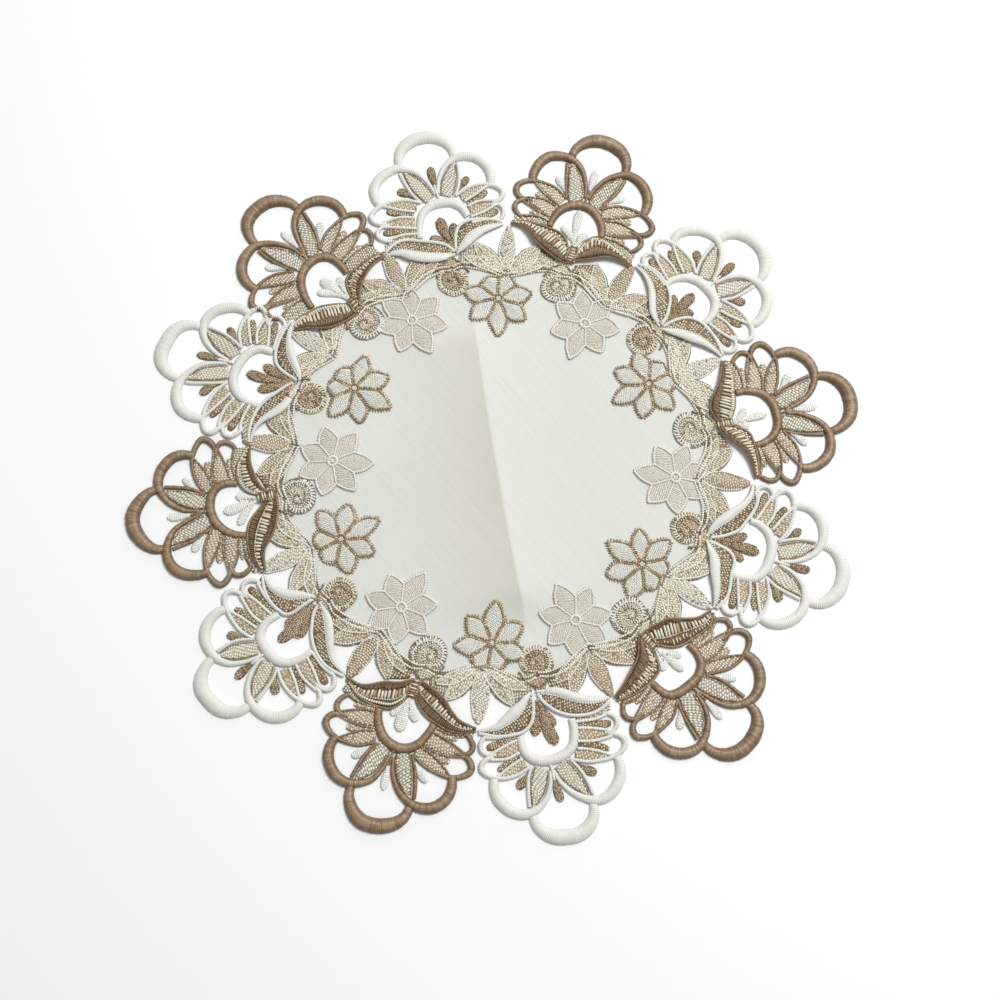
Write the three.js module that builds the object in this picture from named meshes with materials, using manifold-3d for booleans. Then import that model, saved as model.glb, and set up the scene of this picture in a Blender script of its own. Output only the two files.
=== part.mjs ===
// Round lace placemat: a plain woven ground cloth with a wide openwork border of
// six brown and six white fans, and twelve flower sprays laid over the cloth edge.
// Units are millimetres, +Z is up, the mat lies on the plane Z = 0.
// Origin: middle of the mat's outline, on its underside.
import * as THREE from 'three';
import { mergeVertices } from 'three/addons/utils/BufferGeometryUtils.js';
import Module from 'manifold-3d';

const wasm = await Module();
wasm.setup();

// ---------------------------------------------------------------- driving sizes
const REACH = 184.5;          // nominal distance from mat centre to a fan's tip
const CLOTH_RADIUS = 104.5;   // edge of the ground cloth
const CLOTH_THICK = 1.0;      // ground cloth
const FAN_THICK = 2.2;        // satin columns of a fan
const SPRAY_THICK = 1.2;      // flower spray, lies on the cloth
const GAP = 0.3;              // clearance between neighbouring pieces
const SPRAY_BASE = CLOTH_THICK + GAP + 0.13;   // clears the low end of the old fold's ridge
const CLOTH_STEPS = { across: 14, along: [0, 0.4, 0.62, 1] };
const EDGE_TOLERANCE = 0.41;  // how far a plan edge may be straightened
const SMALLEST_HOLE = 7;      // square millimetres; finer openwork is left closed

// fold line of the cloth: crest, and the two flanks that run down from it
const CREASE = { turnDeg: 9.2, height: 4.0, leftRun: 54, rightRun: 44, fadeFrom: 44, reach: 64 };

const COLORS = { cloth: 0xe0e1d8, brown: 0x8c735c, white: 0xe6e7df, cream: 0xd9d0ba, beige: 0xc2b294 };

// ------------------------------------------------- one row for each motif placed
// bearing: degrees clockwise from +Y; reach: centre to tip; vee: sideways drift of the base point
const FANS = [
  { name: 'fan_white_1', thread: 'white', bearing: 347.6, reach: 183.4, vee: 4.0 },
  { name: 'fan_brown_1', thread: 'brown', bearing: 18.4, reach: 186.0, vee: 2.3 },
  { name: 'fan_white_2', thread: 'white', bearing: 48.9, reach: 182.3, vee: 0.6 },
  { name: 'fan_brown_2', thread: 'brown', bearing: 78.9, reach: 185.0, vee: 0.5 },
  { name: 'fan_white_3', thread: 'white', bearing: 109.0, reach: 182.3, vee: 0.6 },
  { name: 'fan_brown_3', thread: 'brown', bearing: 139.0, reach: 184.6, vee: 0.5 },
  { name: 'fan_white_4', thread: 'white', bearing: 169.2, reach: 185.8, vee: 5.0 },
  { name: 'fan_brown_4', thread: 'brown', bearing: 198.8, reach: 186.4, vee: 2.3 },
  { name: 'fan_white_5', thread: 'white', bearing: 230.0, reach: 182.6, vee: 4.6 },
  { name: 'fan_brown_5', thread: 'brown', bearing: 260.5, reach: 183.4, vee: 0.6 },
  { name: 'fan_white_6', thread: 'white', bearing: 290.6, reach: 181.6, vee: 4.4 },
  { name: 'fan_brown_6', thread: 'brown', bearing: 318.2, reach: 186.4, vee: 1.7 },
];
// the spray that follows each fan clockwise, its spike midway between the two fans;
// bearing and heart: where the middle of its flower lies, as seen from mat centre
const SPRAYS = [
  { name: 'spray_brown_1', outline: 'brown', bearing: 0.7, heart: 86.9, spin: 0 },
  { name: 'spray_white_1', outline: 'white', bearing: 31.2, heart: 86.5, spin: -8 },
  { name: 'spray_brown_2', outline: 'brown', bearing: 61.0, heart: 87.2, spin: 0 },
  { name: 'spray_white_2', outline: 'white', bearing: 94.0, heart: 88.6, spin: 5 },
  { name: 'spray_brown_3', outline: 'brown', bearing: 125.0, heart: 86.8, spin: 0 },
  { name: 'spray_white_3', outline: 'white', bearing: 153.6, heart: 86.2, spin: 0 },
  { name: 'spray_brown_4', outline: 'brown', bearing: 181.6, heart: 88.2, spin: 6 },
  { name: 'spray_white_4', outline: 'white', bearing: 213.0, heart: 84.6, spin: 0 },
  { name: 'spray_brown_5', outline: 'brown', bearing: 243.8, heart: 84.4, spin: -2 },
  { name: 'spray_white_5', outline: 'white', bearing: 271.2, heart: 81.0, spin: 0 },
  { name: 'spray_brown_6', outline: 'brown', bearing: 299.0, heart: 80.8, spin: 0 },
  { name: 'spray_white_6', outline: 'white', bearing: 330.6, heart: 86.4, spin: 0 },
];

// ------------------------------------------------------------- parts of one fan
// side: distance from the fan's own axis; out: distance from mat centre; wide: width of the column
const APEX_LOOP = [
  { side: 14.8, out: 167.6, wide: 4.2 },
  { side: 14.2, out: 173.2, wide: 5.2 },
  { side: 10.8, out: 178.0, wide: 6.6 },
  { side: 5.6, out: 180.4, wide: 7.4 },
  { side: 0.0, out: 180.8, wide: 7.4 },
];
const SIDE_LOOP = [
  { side: 0.6, out: 150.0, wide: 2.0 },
  { side: 3.4, out: 157.6, wide: 2.6 },
  { side: 8.6, out: 163.8, wide: 3.4 },
  { side: 17.0, out: 166.4, wide: 4.6 },
  { side: 24.4, out: 164.0, wide: 5.6 },
  { side: 29.4, out: 158.4, wide: 5.6 },
  { side: 30.8, out: 152.6, wide: 5.0 },
  { side: 29.6, out: 147.6, wide: 4.0 },
];
const EYE_RING = [
  { side: 13.2, out: 126.0, wide: 3.4 },
  { side: 14.1, out: 131.6, wide: 3.8 },
  { side: 12.6, out: 137.6, wide: 4.8 },
  { side: 8.4, out: 142.2, wide: 5.4 },
  { side: 0.0, out: 144.2, wide: 5.6 },
];
const UPPER_LOOP = [
  { side: 18.0, out: 148.8, wide: 1.9 },
  { side: 27.0, out: 148.6, wide: 2.2 },
  { side: 33.0, out: 146.4, wide: 2.9 },
  { side: 35.8, out: 143.2, wide: 3.3 },
  { side: 35.0, out: 140.2, wide: 3.2 },
  { side: 32.2, out: 138.0, wide: 2.8 },
  { side: 24.0, out: 138.6, wide: 1.8 },
];
const LOWER_LOOP = [
  { side: 26.6, out: 137.2, wide: 1.8 },
  { side: 33.0, out: 134.6, wide: 2.7 },
  { side: 33.4, out: 131.4, wide: 2.8 },
  { side: 30.8, out: 128.4, wide: 2.5 },
  { side: 22.0, out: 127.8, wide: 1.8 },
];
// base leaf: its lower and upper edges at stations across the fan
const BASE_LEAF = [
  { side: 0.0, low: 110.2, high: 114.4 },
  { side: 4.6, low: 109.4, high: 124.8 },
  { side: 9.2, low: 110.8, high: 128.6 },
  { side: 16.2, low: 114.8, high: 129.2 },
  { side: 24.6, low: 120.2, high: 127.8 },
  { side: 34.8, low: 123.4, high: 125.6 },
];
// net fields that close the ground between the columns
const CENTRE_PETAL = [
  { side: 0.0, out: 144.0 }, { side: 1.4, out: 151.0 }, { side: 7.0, out: 162.0 }, { side: 15.6, out: 166.0 },
  { side: 14.6, out: 158.0 }, { side: 12.0, out: 151.0 }, { side: 10.2, out: 146.0 },
];
const UPPER_FIELD = [
  { side: 9.0, out: 143.0 }, { side: 12.0, out: 148.4 }, { side: 20.0, out: 149.2 }, { side: 27.2, out: 148.0 },
  { side: 24.8, out: 143.6 }, { side: 24.4, out: 139.6 }, { side: 14.0, out: 137.0 },
];
const LOWER_FIELD = [
  { side: 13.6, out: 139.6 }, { side: 29.0, out: 138.2 }, { side: 26.0, out: 133.4 }, { side: 24.6, out: 128.4 },
  { side: 13.6, out: 126.6 },
];
const EYE_OUT = 131;          // centre of the eye, on the fan's axis
const FAN_STEPS = { apex: 5, side: 7, eye: 5, upper: 5, lower: 4 };

// ----------------------------------------------------------- parts of one spray
const FLOWER = { petals: 7, tip: 18.2, notch: 12.6, inwardTip: 20.6, belly: 0.55 };
const SPIKE = [
  { out: 101.0, half: 6.0 }, { out: 112.6, half: 4.3 }, { out: 119.0, half: 3.4 }, { out: 126.0, half: 1.2 },
];
// net leaves that fan out above the flower
const LEAVES = [
  { fromSide: 1.0, fromOut: 100.0, tipSide: 14.6, tipOut: 114.6, half: 4.4 },
  { fromSide: 3.0, fromOut: 99.0, tipSide: 20.4, tipOut: 109.0, half: 4.0 },
];
const GARLAND = [
  { side: 0.0, out: 101.0, wide: 5.0 },
  { side: 9.0, out: 104.0, wide: 4.4 },
  { side: 17.0, out: 105.6, wide: 4.4 },
];
const STEM_HALF = 4.2;
const SWIRL = { out: 99.6, radius: 8.4 };
const GARLAND_END = 105.6;

// ------------------------------------------------------------------ small tools
const rad = THREE.MathUtils.degToRad;

function curveRows(rows, steps, mirror = 1) {
  const c = new THREE.CatmullRomCurve3(rows.map((r) => new THREE.Vector3(mirror * r.side, r.out, r.wide)), false, 'centripetal');
  return c.getSpacedPoints(steps);
}

// outline of a column that follows its centre line, widened on both sides by grow
function columnOutline(points, grow = 0) {
  const left = [], right = [];
  points.forEach((p, i) => {
    const a = points[Math.max(0, i - 1)], b = points[Math.min(points.length - 1, i + 1)];
    const dx = b.x - a.x, dy = b.y - a.y, d = Math.hypot(dx, dy), h = p.z / 2 + grow;
    left.push(new THREE.Vector2(p.x - (dy / d) * h, p.y + (dx / d) * h));
    right.push(new THREE.Vector2(p.x + (dy / d) * h, p.y - (dx / d) * h));
  });
  return left.concat(right.reverse());
}

// a polygon pushed outwards by grow, along the bisector at each corner
function grown(points, grow) {
  if (!grow) return points;
  const pts = THREE.ShapeUtils.area(points) < 0 ? points.slice().reverse() : points;
  return pts.map((p, i) => {
    const a = pts[(i + pts.length - 1) % pts.length], b = pts[(i + 1) % pts.length];
    const u = new THREE.Vector2().subVectors(p, a).normalize(), v = new THREE.Vector2().subVectors(b, p).normalize();
    const n = new THREE.Vector2(u.y + v.y, -u.x - v.x).normalize();
    return new THREE.Vector2(p.x + n.x * grow * 1.1, p.y + n.y * grow * 1.1);
  });
}

function toSolid(geometry) {
  const g = geometry.clone();
  g.deleteAttribute('normal');
  g.deleteAttribute('uv');
  const m = mergeVertices(g, 1e-4);
  return new wasm.Manifold(new wasm.Mesh({
    numProp: 3,
    vertProperties: new Float32Array(m.attributes.position.array),
    triVerts: new Uint32Array(m.index.array),
  }));
}

function slab(points, bottom, thick) {
  const pts = THREE.ShapeUtils.area(points) < 0 ? points.slice().reverse() : points;
  const g = new THREE.ExtrudeGeometry(new THREE.Shape(pts), { depth: thick, bevelEnabled: false });
  g.translate(0, 0, bottom);
  return toSolid(g);
}

// leaves out points that lie within the tolerance of the line between their neighbours
function straightened(loop, tolerance) {
  const keep = (from, to) => {
    const a = loop[from], b = loop[to % loop.length], d = new THREE.Vector2().subVectors(b, a), len = d.length() || 1;
    let worst = 0, at = -1;
    for (let i = from + 1; i < to; i++) {
      const off = Math.abs(d.x * (loop[i].y - a.y) - d.y * (loop[i].x - a.x)) / len;
      if (off > worst) { worst = off; at = i; }
    }
    return worst > tolerance ? keep(from, at).concat(keep(at, to)) : [a];
  };
  let far = 0;
  loop.forEach((p, i) => { if (p.distanceTo(loop[0]) > loop[far].distanceTo(loop[0])) far = i; });
  return keep(0, far).concat(keep(far, loop.length));
}

// plan loops of a flat solid's upper face, as one shape with its holes
function planShape(solid, top) {
  const mesh = solid.getMesh(), v = mesh.vertProperties, t = mesh.triVerts, edges = new Map();
  const onTop = (i) => Math.abs(v[3 * i + 2] - top) < 1e-3;
  for (let k = 0; k < t.length; k += 3) {
    const c = [t[k], t[k + 1], t[k + 2]];
    if (!c.every(onTop)) continue;
    c.forEach((a, i) => {
      const b = c[(i + 1) % 3];
      if (edges.has(`${b}_${a}`)) edges.delete(`${b}_${a}`); else edges.set(`${a}_${b}`, [a, b]);
    });
  }
  const next = new Map();
  for (const [a, b] of edges.values()) next.set(a, (next.get(a) || []).concat(b));
  const loops = [];
  while (next.size) {
    const start = next.keys().next().value, loop = [];
    let at = start;
    do {
      loop.push(new THREE.Vector2(v[3 * at], v[3 * at + 1]));
      const ways = next.get(at), to = ways.pop();
      if (!ways.length) next.delete(at);
      at = to;
    } while (at !== start && next.has(at));
    loops.push(loop);
  }
  const sized = loops.map((l) => straightened(l, EDGE_TOLERANCE)).filter((l) => l.length > 2)
    .map((l) => ({ l, area: Math.abs(THREE.ShapeUtils.area(l)) })).sort((a, b) => b.area - a.area);
  const shape = new THREE.Shape(sized[0].l);
  sized.slice(1).filter((s) => s.area > SMALLEST_HOLE).forEach((s) => shape.holes.push(new THREE.Path(s.l)));
  return shape;
}

function flatPiece(solid, bottom, thick) {
  const largest = solid.decompose().sort((a, b) => b.volume() - a.volume())[0];
  const g = new THREE.ExtrudeGeometry(planShape(largest, bottom + thick), { depth: thick, bevelEnabled: false });
  g.translate(0, 0, bottom);
  g.deleteAttribute('normal');
  g.deleteAttribute('uv');
  const merged = mergeVertices(g, 1e-4);
  merged.computeVertexNormals();
  return merged;
}

const join = (solids) => solids.reduce((a, b) => a.add(b));
const vec = (r) => new THREE.Vector2(r.side, r.out);

// ------------------------------------------------------------------------- fans
// built on the +Y axis; row gives the drift of the base and the shift of the tip
function fanSolid(row, bottom, thick, grow = 0) {
  const shift = row.reach - REACH;
  const settle = (p) => {
    const low = Math.max(0, (EYE_OUT - p.y) / (EYE_OUT - 112));
    return new THREE.Vector2(p.x + row.vee * Math.min(1.05, low), p.y + shift);
  };
  const solids = [];
  const column = (rows, steps, mirror) => solids.push(slab(columnOutline(curveRows(rows, steps, mirror), grow).map(settle), bottom, thick));
  const field = (pts) => solids.push(slab(grown(pts, grow).map(settle), bottom, thick));
  const both = (rows) => rows.concat(rows.slice(0, -1).reverse().map((r) => ({ ...r, side: -r.side })));
  column(both(APEX_LOOP), FAN_STEPS.apex * 2);
  column(both(EYE_RING), FAN_STEPS.eye * 2);
  for (const m of [-1, 1]) {
    column(SIDE_LOOP, FAN_STEPS.side, m);
    column(UPPER_LOOP, FAN_STEPS.upper, m);
    column(LOWER_LOOP, FAN_STEPS.lower, m);
    field(BASE_LEAF.map((r) => new THREE.Vector2(m * r.side, r.low)).concat(BASE_LEAF.slice().reverse().map((r) => new THREE.Vector2(m * r.side, r.high))));
    for (const rows of [CENTRE_PETAL, UPPER_FIELD, LOWER_FIELD]) field(rows.map((r) => new THREE.Vector2(m * r.side, r.out)));
  }
  return join(solids);
}

// ----------------------------------------------------------------------- sprays
function sprayPieces(row, drift, from, to) {
  const pts = [], heart = new THREE.Vector2(row.heart * Math.sin(drift), row.heart * Math.cos(drift));
  const step = 360 / FLOWER.petals;
  for (let i = 0; i < FLOWER.petals; i++) {
    const a = drift + rad(180 + row.spin + i * step), b = drift + rad(180 + row.spin + (i + 0.5) * step);
    const tip = i === 0 ? FLOWER.inwardTip : FLOWER.tip;
    const side = [-0.21, 0.21].map((k) => a + rad(step) * k);
    const mid = FLOWER.notch + (tip - FLOWER.notch) * FLOWER.belly;
    pts.push([side[0], mid], [a, tip], [side[1], mid], [b, FLOWER.notch]);
  }
  const flower = pts.map(([a, r]) => new THREE.Vector2(heart.x + r * Math.sin(a), heart.y + r * Math.cos(a)));
  const spike = SPIKE.map((r) => new THREE.Vector2(r.half, r.out)).concat(SPIKE.slice().reverse().map((r) => new THREE.Vector2(-r.half, r.out)));
  const stem = [[-1, 0, SPIKE[0].out + 1], [1, 0, SPIKE[0].out + 1], [1, heart.x, heart.y], [-1, heart.x, heart.y]].map(([m, side, out]) => new THREE.Vector2(side + m * STEM_HALF, out));
  const all = [flower, spike, stem];
  for (const m of [-1, 1]) {
    for (const l of LEAVES) {
      const a = new THREE.Vector2(m * l.fromSide, l.fromOut), b = new THREE.Vector2(m * l.tipSide, l.tipOut);
      const n = new THREE.Vector2(a.y - b.y, b.x - a.x).normalize().multiplyScalar(l.half);
      const at = (t, k) => a.clone().lerp(b, t).addScaledVector(n, k);
      all.push([a, at(0.3, 0.8), at(0.6, 1), at(0.85, 0.6), b, at(0.85, -0.6), at(0.6, -1), at(0.3, -0.8)]);
    }
    const end = m < 0 ? from : to;
    const swirlTop = { side: Math.abs(GARLAND_END * Math.sin(end)), out: GARLAND_END * Math.cos(end), wide: 4.6 };
    all.push(columnOutline(curveRows(GARLAND.concat(swirlTop), 4, m)));
  }
  return all;
}

function swirlOutline(turn) {
  const c = new THREE.Vector2(SWIRL.out * Math.sin(turn), SWIRL.out * Math.cos(turn));
  return Array.from({ length: 12 }, (_, i) => {
    const a = (i / 12) * 2 * Math.PI;
    return new THREE.Vector2(c.x + SWIRL.radius * Math.cos(a), c.y + SWIRL.radius * Math.sin(a));
  });
}

// keep what lies clockwise (side = 1) or anticlockwise (side = -1) of a radial line
function cutSector(solid, bearing, side, gap) {
  const n = new THREE.Vector2(Math.cos(bearing), -Math.sin(bearing)).multiplyScalar(side);
  return solid.trimByPlane([n.x, n.y, 0], gap);
}

const wrap = (a) => ((a + 540) % 360) - 180;

// ------------------------------------------------------------------ ground cloth
// stations lie across the fold line, points along it; the flanks fall away from the crest
function clothGeometry() {
  const turn = rad(CREASE.turnDeg);
  const even = Array.from({ length: CLOTH_STEPS.across + 1 }, (_, i) => -CLOTH_RADIUS * Math.cos((i / CLOTH_STEPS.across) * Math.PI));
  const folds = [-1, -0.55, -0.2, 0].map((k) => k * CREASE.leftRun).concat([0.16, 0.42, 1].map((k) => k * CREASE.rightRun));
  const stations = even.filter((x) => folds.every((f) => Math.abs(f - x) > 4)).concat(folds).sort((a, b) => a - b);
  const rise = (x, y) => {
    const flank = x < 0 ? 1 + x / CREASE.leftRun : 1 - x / CREASE.rightRun;
    const fade = (CREASE.reach - Math.hypot(x, y)) / (CREASE.reach - CREASE.fadeFrom);
    if (flank <= 0 || fade <= 0) return 0;
    return CREASE.height * Math.pow(flank, x < 0 ? 1.8 : 2.3) * Math.min(1, fade);
  };
  const shares = CLOTH_STEPS.along.slice(1).reverse().map((k) => -k).concat(CLOTH_STEPS.along), last = shares.length - 1;
  const pos = [], idx = [], grid = { top: [], bottom: [] };
  const push = (x, y, z) => {
    pos.push(x * Math.cos(turn) - y * Math.sin(turn), x * Math.sin(turn) + y * Math.cos(turn), z);
    return pos.length / 3 - 1;
  };
  for (const x of stations) {
    const half = Math.sqrt(Math.max(0, CLOTH_RADIUS ** 2 - x ** 2));
    for (const [key, lift] of [['top', CLOTH_THICK], ['bottom', 0]]) {
      if (half < 1e-6) { grid[key].push(Array(last + 1).fill(push(x, 0, lift))); continue; }
      grid[key].push(shares.map((k) => push(x, k * half, lift + rise(x, k * half))));
    }
  }
  const tri = (a, b, c) => { if (a !== b && b !== c && a !== c) idx.push(a, b, c); };
  for (let i = 0; i + 1 < stations.length; i++) {
    const t0 = grid.top[i], t1 = grid.top[i + 1], b0 = grid.bottom[i], b1 = grid.bottom[i + 1];
    for (let j = 0; j < last; j++) {
      tri(t0[j], t1[j], t1[j + 1]); tri(t0[j], t1[j + 1], t0[j + 1]);
      tri(b0[j], b1[j + 1], b1[j]); tri(b0[j], b0[j + 1], b1[j + 1]);
    }
    tri(t0[0], b1[0], t1[0]); tri(t0[0], b0[0], b1[0]);
    tri(t0[last], t1[last], b1[last]); tri(t0[last], b1[last], b0[last]);
  }
  const g = new THREE.BufferGeometry();
  g.setAttribute('position', new THREE.Float32BufferAttribute(pos, 3));
  g.setIndex(idx);
  g.computeVertexNormals();
  return g;
}

// --------------------------------------------------------------------- assembly
const finish = (color, roughness) => new THREE.MeshStandardMaterial({ color, roughness, metalness: 0 });
const mat = new THREE.Group();

const cloth = new THREE.Mesh(clothGeometry(), finish(COLORS.cloth, 0.9));
cloth.name = 'ground_cloth';
mat.add(cloth);

const count = FANS.length;
FANS.forEach((row, i) => {
  const before = FANS[(i + count - 1) % count], after = FANS[(i + 1) % count];
  let solid = fanSolid(row, 0, FAN_THICK);
  solid = cutSector(solid, rad(wrap(before.bearing - row.bearing) / 2), 1, GAP / 2);
  solid = cutSector(solid, rad(wrap(after.bearing - row.bearing) / 2), -1, GAP / 2);
  const mesh = new THREE.Mesh(flatPiece(solid, 0, FAN_THICK), finish(COLORS[row.thread], 0.6));
  mesh.name = row.name;
  mesh.rotation.z = -rad(row.bearing);
  mat.add(mesh);
});

SPRAYS.forEach((row, i) => {
  const before = FANS[i], after = FANS[(i + 1) % count];
  const middle = before.bearing + wrap(after.bearing - before.bearing) / 2;
  const from = rad(wrap(before.bearing - middle)), to = rad(wrap(after.bearing - middle));
  const outlines = sprayPieces(row, rad(wrap(row.bearing - middle)), from, to).concat([swirlOutline(from), swirlOutline(to)]);
  let solid = join(outlines.map((pts) => slab(pts, SPRAY_BASE, SPRAY_THICK)));
  solid = cutSector(cutSector(solid, from, 1, GAP / 2), to, -1, GAP / 2);
  for (const fan of [before, after]) {
    const keepOut = fanSolid(fan, -1, 6, GAP + 1.2 * EDGE_TOLERANCE).rotate([0, 0, -wrap(fan.bearing - middle)]);
    solid = solid.subtract(keepOut);
  }
  const mesh = new THREE.Mesh(flatPiece(solid, SPRAY_BASE, SPRAY_THICK), finish(row.outline === 'brown' ? COLORS.cream : COLORS.beige, 0.85));
  mesh.name = row.name;
  mesh.rotation.z = -rad(middle);
  mat.add(mesh);
});

// centre the outline's box on the origin
const box = new THREE.Box3().setFromObject(mat, true);
mat.position.set(-(box.min.x + box.max.x) / 2, -(box.min.y + box.max.y) / 2, 0);

export default mat;
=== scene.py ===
"""Round lace placemat: woven ground cloth, satin-stitched fans, thread nets and flower sprays."""
import math
import bpy
import numpy as np
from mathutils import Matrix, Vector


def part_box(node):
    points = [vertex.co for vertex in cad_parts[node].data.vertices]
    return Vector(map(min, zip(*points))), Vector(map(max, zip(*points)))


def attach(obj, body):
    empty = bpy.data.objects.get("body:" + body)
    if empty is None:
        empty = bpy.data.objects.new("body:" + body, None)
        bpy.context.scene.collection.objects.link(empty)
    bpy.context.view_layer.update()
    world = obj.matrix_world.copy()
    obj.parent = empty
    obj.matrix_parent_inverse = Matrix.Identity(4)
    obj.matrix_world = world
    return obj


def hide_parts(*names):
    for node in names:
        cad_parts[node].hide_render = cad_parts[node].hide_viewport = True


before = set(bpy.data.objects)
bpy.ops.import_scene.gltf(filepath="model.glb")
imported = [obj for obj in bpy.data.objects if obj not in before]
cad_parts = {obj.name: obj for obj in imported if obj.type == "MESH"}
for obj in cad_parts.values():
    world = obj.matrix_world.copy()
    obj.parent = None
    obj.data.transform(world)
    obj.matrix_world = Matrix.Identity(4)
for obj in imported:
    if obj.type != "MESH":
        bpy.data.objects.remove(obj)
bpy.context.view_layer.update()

RNG = np.random.default_rng(20)
MM = 0.001
low, high = (np.array(c, float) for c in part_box("ground_cloth"))
CENTRE = (low + high)[:2] / 2 / MM        # middle of the round cloth, in millimetres


# ============================================================== drawing tools
def smooth(rows, n=160):
    """Points along a smooth curve through the rows (any number of columns)."""
    p = np.asarray(rows, float)
    d = np.sqrt(np.linalg.norm(np.diff(p[:, :2], axis=0), axis=1)).clip(1e-6)
    t = np.concatenate([[0], d.cumsum()])
    m = np.zeros_like(p)
    s = np.diff(p, axis=0) / d[:, None]
    m[0], m[-1] = s[0], s[-1]
    m[1:-1] = (s[:-1] * d[1:, None] + s[1:] * d[:-1, None]) / (d[1:] + d[:-1])[:, None]
    u = np.linspace(0, t[-1], n)
    i = np.searchsorted(t, u, side="right").clip(1, len(t) - 1) - 1
    h, x = d[i][:, None], ((u - t[i]) / d[i])[:, None]
    return ((2 * x**3 - 3 * x**2 + 1) * p[i] + (x**3 - 2 * x**2 + x) * h * m[i]
            + (3 * x**2 - 2 * x**3) * p[i + 1] + (x**3 - x**2) * h * m[i + 1])


def length_of(p):
    return np.concatenate([[0], np.linalg.norm(np.diff(p[:, :2], axis=0), axis=1).cumsum()])


def along(p, at):
    """p sampled at distances along itself."""
    s = length_of(p)
    return np.stack([np.interp(at, s, p[:, c]) for c in range(p.shape[1])], 1)


def mirrored(rows, m):
    p = np.array(rows, float)
    p[:, 0] *= m
    return p


def both_sides(rows):
    p = np.array(rows, float)
    q = p[:-1][::-1].copy()
    q[:, 0] *= -1
    return np.concatenate([p, q])


class Patch:
    """A strip of net between two edges; s runs along it, t from -1 to 1 across it."""

    def __init__(self, a, b):
        self.a, self.b = np.asarray(a, float)[:, :2], np.asarray(b, float)[:, :2]
        self.n = len(self.a)
        self.u = length_of((self.a + self.b) / 2)
        self.long = self.u[-1]
        self.u = self.u / self.long

    def at(self, s, t):
        s, t = np.broadcast_arrays(np.asarray(s, float), np.asarray(t, float))
        a = np.stack([np.interp(s, self.u, self.a[:, c]) for c in (0, 1)], -1)
        b = np.stack([np.interp(s, self.u, self.b[:, c]) for c in (0, 1)], -1)
        return a * ((1 - t) / 2)[..., None] + b * ((1 + t) / 2)[..., None]

    def wide(self, s):
        return float(np.linalg.norm(self.at(s, -1.0) - self.at(s, 1.0)))

    def area(self):
        s = np.linspace(0, 1, 40)
        w = np.linalg.norm(self.at(s, -1.0 + 0 * s) - self.at(s, 1.0 + 0 * s), axis=1)
        return float(w.mean() * self.long)


def leaf(spine, halves):
    """A leaf-shaped patch: spine through a few points, halves = half width at shares of its length."""
    c = smooth(spine, 60)[:, :2]
    s = length_of(c) / length_of(c)[-1]
    at, half = np.array(halves, float).T
    h = smooth(np.stack([at, half], 1), 200)
    h = np.interp(s, h[:, 0], h[:, 1]).clip(0.05)
    d = np.gradient(c, axis=0)
    n = np.stack([-d[:, 1], d[:, 0]], 1) / np.linalg.norm(d, axis=1)[:, None]
    return Patch(c - n * h[:, None], c + n * h[:, None])


DOME = np.array([(-1, 0.0), (-0.94, 0.36), (-0.71, 0.71), (-0.27, 0.97), (0.27, 0.97), (0.71, 0.71), (0.94, 0.36), (1, 0.0)])
ARCH = np.array([(-1, 0.0), (-0.86, 0.55), (-0.34, 0.96), (0.34, 0.96), (0.86, 0.55), (1, 0.0)])
CORD = np.array([(-1, 0.0), (-0.72, 0.74), (0, 1.0), (0.72, 0.74), (1, 0.0)])
BEAD = np.array([(-1, 0.0), (-0.52, 0.9), (0.52, 0.9), (1, 0.0)])
THREAD = np.array([(-1, 0.0), (0, 1.0), (1, 0.0)])


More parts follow.
